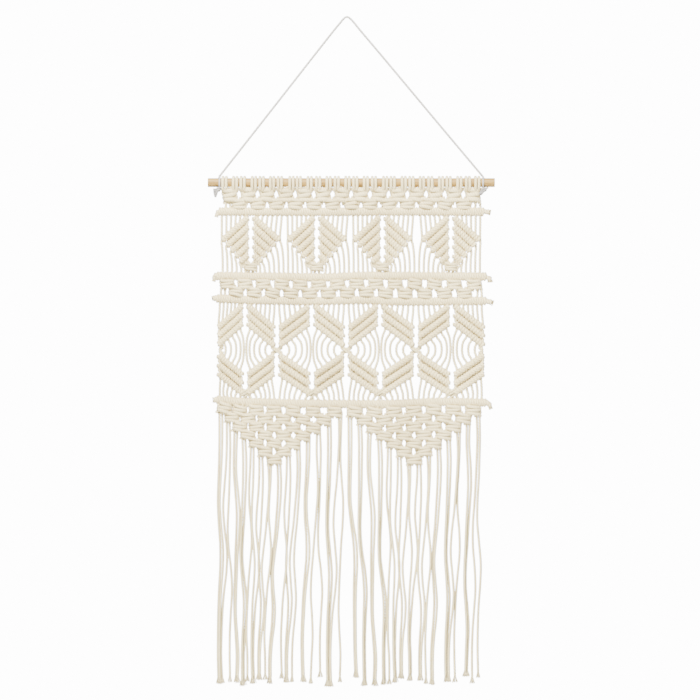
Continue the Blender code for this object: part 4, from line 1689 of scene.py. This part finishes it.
    def eye_strand(self, column: Column, at_leaf: float, share: float) -> Line:
        """A strand from an upper leaf to the lower one, drawn in towards the slit's line between them.

        Args:
            column: Its column.
            at_leaf: X of the strand where it leaves the leaf.
            share: How far along the leaf that is.

        Returns:
            The strand's line.
        """
        cloth = self.shop.cloth
        high = self.level(self.rows, False) - self.fall(column, False) * share
        low = self.level(0, True) - self.fall(column, True) * share
        reach = abs(at_leaf - column.slit)
        left = 1 - reach / abs(column.crossing - column.slit)
        middle = column.slit + column.side * reach * (1 - self.drawn * left ** 2)
        line = [cloth.at(at_leaf, high + 4 * MM, 1.0 * MM)]
        for step in (0.0, 0.2, 0.4, 0.6, 0.8, 1.0):
            bow = 1 - abs(2 * step - 1) ** self.roundness
            line.append(cloth.at(at_leaf + (middle - at_leaf) * bow, high + (low - high) * step))
        line.append(cloth.at(at_leaf, low - 4 * MM, 1.0 * MM))
        return line

    def crossing_strands(self, column: Column) -> list[Line]:
        """The end of a leaf's holding cord, which crosses to the leaf on the other side.

        Args:
            column: The leaf's column.

        Returns:
            The lines of the cord's two turns.
        """
        inside = column.side * (self.side_gap + 3.4 * MM)
        beyond = -inside if self.outermost(column) else inside
        rise = 5.2 * MM
        depth = -column.side * 1.4 * MM
        way = (
            (-inside, rise, 0.0), (-0.4 * inside, 0.4 * rise, depth),
            (0.4 * beyond, -0.4 * rise, depth), (beyond, -rise, 0.0),
        )
        return [
            [self.shop.cloth.at(column.crossing + x, self.crossing + z + shift, y) for x, z, y in way]
            for shift in (-1.5 * MM, 1.5 * MM)
        ]


@dataclass
class FringeTriangle:
    """A V of square knots in narrowing rows, with its hanging strands.

    Attributes:
        shop: What the triangle is made with.
        name: The node that it replaces.
        middle: X of the middle between its sides, from the panel's.
        crowding: How far its knots are moved to the left at its middle.
        spacing: Distance between the knots of a row.
        locks: For each lock of strands their number, and the X and Z of its tip, in millimetres.
        top: Z of the first row's upper edge.
        rows: Rows of knots.
        row_height: Height of a row.
        fullness: The knots' width as a share of the pattern's.
        stretches: The knots' height as a share of their row's, for the first row and then all others.
        root_spread: Half the distance between the two strands of a half knot.
        lane: How far a strand hangs in front of the cloth's middle or behind it.
        lane_run: The share of its length in which a strand reaches its lane.
        lock_spread: Half the distance between the tips of a lock's strands.
        sway: The most that a strand sways.
        sway_step: How much more of it each strand of a lock has than the one to its left.
        sway_shape: How soon it sets in and fades at the strand's ends, sooner when lower.
        waves: For its slow and its quick sway, how many waves a strand has and their share of the sway.
        steps: How many stretches a strand's line has.
        fray_length: Length of a strand's open end.
        fray_spread: How far its fibres spread.
        fray_range: The least and the most of that, as a share.
        fibres: How many fibres show.
        seed: Picks the strands' sway.
        knot_seed: Picks the knots' small turns.
    """

    shop: Workshop
    name: str
    middle: float
    crowding: float
    spacing: float
    locks: Sequence[tuple[int, float, float]]
    top: float = -542.5 * MM
    rows: int = 7
    row_height: float = 11.3 * MM
    fullness: float = 1.03
    stretches: Sequence[float] = (1.12, 1.06)
    root_spread: float = 2.0 * MM
    lane: float = 2.3 * MM
    lane_run: float = 0.25
    lock_spread: float = 1.3 * MM
    sway: float = 2.7 * MM
    sway_step: float = 0.3
    sway_shape: float = 0.7
    waves: Sequence[tuple[float, float]] = ((1.6, 1.0), (3.1, 0.3))
    steps: int = 12
    fray_length: float = 10.0 * MM
    fray_spread: float = 4.4 * MM
    fray_range: tuple[float, float] = (0.7, 1.1)
    fibres: int = 40
    seed: int = 7
    knot_seed: int = 61

    def build(self) -> None:
        """Tie the triangle, hang its strands and fray their tips."""
        counts = tuple(range(self.rows, 0, -1))
        knots = KnotBand(
            self.shop, self.name + "_knots", counts, self.spacing, self.row_height, self.height,
            self.middle, self.crowding, self.fullness, self.stretches, seed=self.knot_seed,
        )
        seat(knots.build(), WORKING_COTTON, self.name)
        lines, tips = self.strands()
        self.shop.hang(self.name + "_strands", lines, HANGING_TWIST, self.name)
        chance = random.Random(self.seed + 1)
        fibres = []
        for start, tip in tips:
            width = self.fray_spread * chance.uniform(*self.fray_range)
            fibres += frayed(start, tip, width, self.fibres, chance)
        self.shop.hang(self.name + "_frays", fibres, FIBRE, self.name)

    def height(self, row: int, x: float) -> float:
        """Z of a row's middle, the first of which follow the bar above."""
        wave = self.shop.cloth.bar_foot(3, x) - self.top
        return self.top - (row + 0.5) * self.row_height + wave * (1 - row / self.rows)

    def roots(self) -> list[tuple[float, float]]:
        """Where the strands leave the triangle.

        Returns:
            The X and Z of each strand's root, from left to right.
        """
        roots = []
        for pair in range(2 * self.rows):
            step = pair - self.rows + 0.5
            row = self.rows - math.floor(abs(step))
            height = self.top - row * self.row_height
            place = self.middle + step * self.spacing / 2 + self.crowding * ((step / self.rows) ** 2 - 1)
            roots += [(place - self.root_spread, height), (place + self.root_spread, height)]
        return roots

    def swayed(self, share: float, phase: float, place: float) -> float:
        """How far a strand sways at a place along it.

        Args:
            share: The place, from 0 at the strand's root to 1 at its tip.
            phase: Where its waves start.
            place: Which strand of its lock it is, from the lock's middle.

        Returns:
            The way to the right.
        """
        wave = sum(
            height * math.sin(math.tau * waves * share + number * phase)
            for number, (waves, height) in enumerate(self.waves, start=1)
        )
        return self.sway * math.sin(math.pi * share) ** self.sway_shape * wave * (1 + self.sway_step * place)

    def strands(self) -> tuple[list[Line], list[tuple[Vector, Vector]]]:
        """The hanging strands, each swaying a little on its way to the tip of its lock.

        Returns:
            The strands' lines, and where each one's fray starts and ends.
        """
        cloth = self.shop.cloth
        chance = random.Random(self.seed)
        roots = iter(self.roots())
        lines, tips = [], []
        for lock, (count, tip, tip_height) in enumerate(self.locks):
            phase = chance.uniform(0.0, math.tau)
            foot = tip_height * MM + self.fray_length
            for strand in range(count):
                root, height = next(roots)
                place = strand - (count - 1) / 2
                end = tip * MM + 2 * place * self.lock_spread
                lane = self.lane * (1 if (strand + lock) % 2 == 0 else -1)
                line = [cloth.at(root, height + 5 * MM)]
                for step in range(self.steps + 1):
                    share = step / self.steps
                    x = root + (end - root) * eased(share) + self.swayed(share, phase, place)
                    depth = lane * min(share / self.lane_run, 1.0)
                    line.append(cloth.at(x, height + (foot - height) * share, depth))
                lines.append(line)
                tips.append((line[-1], cloth.at(end, tip_height * MM, lane)))
        return lines, tips


@dataclass(frozen=True)
class HangerKnot:
    """One of the two knots that tie the thin cord to the rod.

    Attributes:
        name: Its side's name.
        side: Its side of the rod.
        hitch: The points of its hitch from the ring's middle, in millimetres.
        fray: Where its frayed end starts and ends, from there, in millimetres.
        widths: How wide the fibres stand at both, in millimetres.
    """

    name: str
    side: int
    hitch: Sequence[Point]
    fray: tuple[Point, Point]
    widths: tuple[float, float]


@dataclass
class HangingCord:
    """The thin cord over the nail, tied round the rod at each side.

    Attributes:
        spinner: Spins cords.
        finish: The thin cord's cotton.
        rod: Middle of the rod.
        rod_radius: Half the rod's thickness.
        route: X and Z of the cord's way from the left knot to the right one, in millimetres.
        spread: From the rod's middle to each knot.
        clearance: Between the rod and the cord.
        drift: How far a ring wanders along the rod.
        steps: How many stretches a ring's line has.
        knots: The knots at the left and right.
        fibres: How many fibres a fray has.
        seed: Picks them.
    """

    spinner: CordSpinner
    finish: Finish
    rod: Vector
    rod_radius: float
    route: Sequence[tuple[float, float]] = (
        (-178.2, -221.4), (-116.0, -142.3), (-50.6, -58.7), (-18.8, -18.3), (-10.7, -8.5), (-4.4, -1.0),
        (0.0, 1.4),
        (4.5, -1.0), (11.3, -8.5), (19.2, -18.3), (53.3, -58.7), (123.1, -142.3), (189.5, -221.4),
    )
    spread: float = 183.6 * MM
    clearance: float = ROD_CLEARANCE
    drift: float = 1.0 * MM
    steps: int = 16
    knots: Sequence[HangerKnot] = (
        HangerKnot(
            "left",
            -1,
            (
                (1.0, -4.6, -7.0), (-3.4, -5.4, -8.6), (-4.6, -1.6, -11.2), (-0.8, 1.0, -11.8),
                (0.6, -2.4, -9.6), (-2.2, -5.0, -10.4), (-5.4, -4.0, -14.6), (-5.8, -3.5, -16.6),
            ),
            ((-5.2, -3.2, -10.0), (-5.8, -3.4, -21.0)),
            (4.6, 1.4),
        ),
        HangerKnot(
            "right",
            1,
            (
                (6.8, -3.4, -7.6), (3.6, -5.2, -8.4), (-1.0, -6.0, -9.4), (-0.6, -2.0, -12.2),
                (3.4, -0.6, -11.4), (4.0, -4.6, -9.4), (0.6, -7.0, -12.0), (-2.0, -7.6, -14.6),
            ),
            ((1.6, -4.6, -8.6), (-4.6, -7.6, -17.4)),
            (3.4, 2.2),
        ),
    )
    fibres: int = 100
    seed: int = 5

    def build(self) -> None:
        """Spin the cord and tie its two knots."""
        path = in_mm(*((x, 0.0, z) for x, z in self.route))
        cord = self.spinner.spin("hanging_cord_twist", [path], HANGER, self.finish)
        knots = [self.tie(knot) for knot in self.knots]
        seat(cord, THIN_COTTON, "hanging_cord")

    def tie(self, knot: HangerKnot) -> Piece:
        """Tie the cord round the rod: a turn, a half hitch under it and a free end.

        Args:
            knot: The knot.

        Returns:
            The knot's piece.
        """
        middle = self.rod + Vector((knot.side * self.spread, 0.0, 0.0))
        reach = self.rod_radius + self.clearance + HANGER_KNOTTED.radius
        ring = []
        for index in range(self.steps + 3):
            angle = math.pi * 0.5 + math.tau * index / self.steps
            drift = (index / self.steps - 0.5) * self.drift * knot.side
            ring.append(middle + Vector((drift, reach * math.cos(angle), reach * math.sin(angle))))
        hitch, fray = ([middle + place for place in in_mm(*points)] for points in (knot.hitch, knot.fray))
        tied = self.spinner.spin(f"hanger_knot_{knot.name}", [ring, hitch], HANGER_KNOTTED, self.finish)
        wide_start, wide_tip = (width * MM for width in knot.widths)
        chance = random.Random(self.seed + knot.side)
        fibres = frayed(*fray, wide_tip, self.fibres, chance, wide_start)
        opened = self.spinner.spin(f"hanger_fray_{knot.name}", fibres, FIBRE, self.finish)
        return seat(join([tied, opened]), THIN_COTTON, f"hanging_knot_{knot.name}")


def join(pieces: Sequence[Piece]) -> Piece:
    """Put meshes of one material together in the first of them.

    Args:
        pieces: The mesh objects, all but the first of which are removed.

    Returns:
        The first object.
    """
    with bpy.context.temp_override(active_object=pieces[0], selected_editable_objects=list(pieces)):
        bpy.ops.object.join()
    return pieces[0]


@dataclass
class Studio:
    """White air all round, a pale paper floor, soft light and a camera square to the cloth.

    Attributes:
        mm_per_pixel: Size of one picture pixel at the cloth.
        nail_pixel: Picture place of the nail, where X and Z are zero.
        distance: From the camera to the cloth.
        floor_height: Z of the floor.
        floor_half: Half the floor's width.
        shown_air: Brightness of the air where it is seen.
        lit_air: Brightness of the air as a light.
        aim: The point that the lights face.
        lamps: Each light's name, place, width and power in watts.
    """

    mm_per_pixel: float = 1.394 * MM
    nail_pixel: tuple[float, float] = (347.0, 17.9)
    distance: float = 3.2
    floor_height: float = -1.25
    floor_half: float = 1.8
    shown_air: float = 14.0
    lit_air: float = 0.15
    aim: Point = (0.0, 0.0, -0.5)
    lamps: Sequence[tuple[str, Point, float, float]] = (
        ("key", (-0.5, -2.1, 1.6), 0.9, 430.0),
        ("fill", (1.3, -2.4, 0.2), 1.6, 45.0),
        ("back", (1.5, 2.3, 0.4), 1.4, 150.0),
    )

    def build(self) -> None:
        """Set up the camera, the floor, the lights and the air."""
        middle = PICTURE_WIDTH / 2
        x = (middle - self.nail_pixel[0]) * self.mm_per_pixel
        z = -(middle - self.nail_pixel[1]) * self.mm_per_pixel
        self.place_camera(Vector((x, -self.distance, z)))
        self.lay_floor()
        for name, place, size, power in self.lamps:
            self.hang_lamp(name, place, size, power)
        self.fill_air()

    def place_camera(self, place: Vector) -> None:
        """Put the camera straight in front of the cloth.

        Args:
            place: The camera's place.
        """
        data = bpy.data.cameras.new("camera")
        data.lens = data.sensor_width * self.distance / (PICTURE_WIDTH * self.mm_per_pixel)
        camera = put_in_scene("camera", data)
        camera.location = place
        camera.rotation_euler = (math.pi / 2, 0.0, 0.0)
        bpy.context.scene.camera = camera

    def lay_floor(self) -> None:
        """Lay the paper floor."""
        half = self.floor_half
        corners = [(x * half, y * half, self.floor_height) for x, y in ((-1, -1), (1, -1), (1, 1), (-1, 1))]
        mesh = bpy.data.meshes.new("paper_floor")
        mesh.from_pydata(corners, [], [(0, 1, 2, 3)])
        mesh.materials.append(PaperFinish().material())
        put_in_scene("paper_floor", mesh)

    def hang_lamp(self, name: str, place: Point, size: float, power: float) -> None:
        """Hang a soft light.

        Args:
            name: Its name.
            place: Its place.
            size: The length of its side.
            power: Its power in watts.
        """
        data = bpy.data.lights.new(name, "AREA")
        data.size = size
        data.energy = power
        lamp = put_in_scene(name, data)
        lamp.location = place
        lamp.rotation_euler = (Vector(self.aim) - Vector(place)).to_track_quat("-Z", "Y").to_euler()

    def fill_air(self) -> None:
        """Make the air bright where it is seen and dimmer as a light."""
        world = bpy.data.worlds.new("studio_air")
        bpy.context.scene.world = world
        world.use_nodes = True
        tree = world.node_tree
        seen = add_node(tree, "ShaderNodeLightPath").outputs["Is Camera Ray"]
        brightness = {0: seen, 1: self.shown_air - self.lit_air, 2: self.lit_air}
        strength = add_node(tree, "ShaderNodeMath", brightness, operation="MULTIPLY_ADD")
        feed(tree.nodes["Background"], {"Color": linear("#FFFFFF"), "Strength": strength})


LEFT_LOCKS = (
    (3, -183.0, -928.5), (1, -169.0, -926.0), (2, -159.5, -927.0), (2, -151.0, -931.5),
    (1, -145.0, -926.0), (2, -137.0, -928.5), (2, -128.5, -923.0), (1, -120.0, -923.0),
    (2, -113.5, -928.5), (1, -97.0, -921.5), (2, -90.5, -927.0), (1, -82.5, -926.0),
    (2, -67.5, -926.0), (1, -56.5, -928.5), (1, -43.5, -920.0), (3, -31.0, -932.5),
    (1, -16.0, -927.0),
)
RIGHT_LOCKS = (
    (2, 6.5, -920.0), (2, 18.5, -931.5), (2, 32.5, -931.5), (2, 45.5, -930.0),
    (1, 53.0, -930.0), (2, 61.0, -927.0), (2, 69.5, -921.5), (2, 82.0, -924.5),
    (2, 96.0, -924.5), (1, 104.0, -928.5), (2, 112.5, -930.0), (3, 133.5, -926.0),
    (1, 144.5, -927.0), (2, 160.0, -918.5), (1, 168.5, -928.5), (1, 176.5, -920.0),
)


def main() -> None:
    """Build the hanging and its studio."""
    logging.basicConfig(level=logging.INFO, format="%(name)s: %(message)s")
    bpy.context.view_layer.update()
    Studio().build()
    low, high = (Vector(corner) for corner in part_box("dowel"))
    rod = (low + high) / 2
    rod_radius = (high.z - low.z) / 2
    spinner = CordSpinner()
    thin = CottonFinish("thin_plied_cotton", light="#BFBAB1", painted_shading_and_patch_tint="#8F887E").material()
    HangingCord(spinner, thin, rod, rod_radius).build()
    birch = BirchFinish().material()
    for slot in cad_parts["dowel"].material_slots:
        slot.material = birch

    cotton = CottonFinish("plied_cotton_cord").material()
    knots = Knots(spinner, cotton, rod_radius + ROD_CLEARANCE)
    shop = Workshop(
        cloth=Cloth(rod.x, rod.z),
        spinner=spinner,
        tier=KnotTier(),
        cotton=cotton,
        hitch=knots.hitch(),
        square_knot=knots.square_knot(),
        head=knots.head(),
        knots=knots,
    )
    Heading(shop).build()
    Bands(shop).build()
    Bars(shop).build()
    Diamonds(shop).build()
    Leaves(shop).build()
    triangles = (
        ("fringe_triangle_left", -97.3, 10.2, 25.6, LEFT_LOCKS),
        ("fringe_triangle_right", 87.4, 0.0, 27.5, RIGHT_LOCKS),
    )
    for name, middle, crowding, spacing, locks in triangles:
        FringeTriangle(shop, name, middle * MM, crowding * MM, spacing * MM, locks).build()
    for pattern in (shop.hitch, shop.square_knot, shop.head):
        bpy.data.objects.remove(pattern, do_unlink=True)


if __name__ == "__main__":
    main()
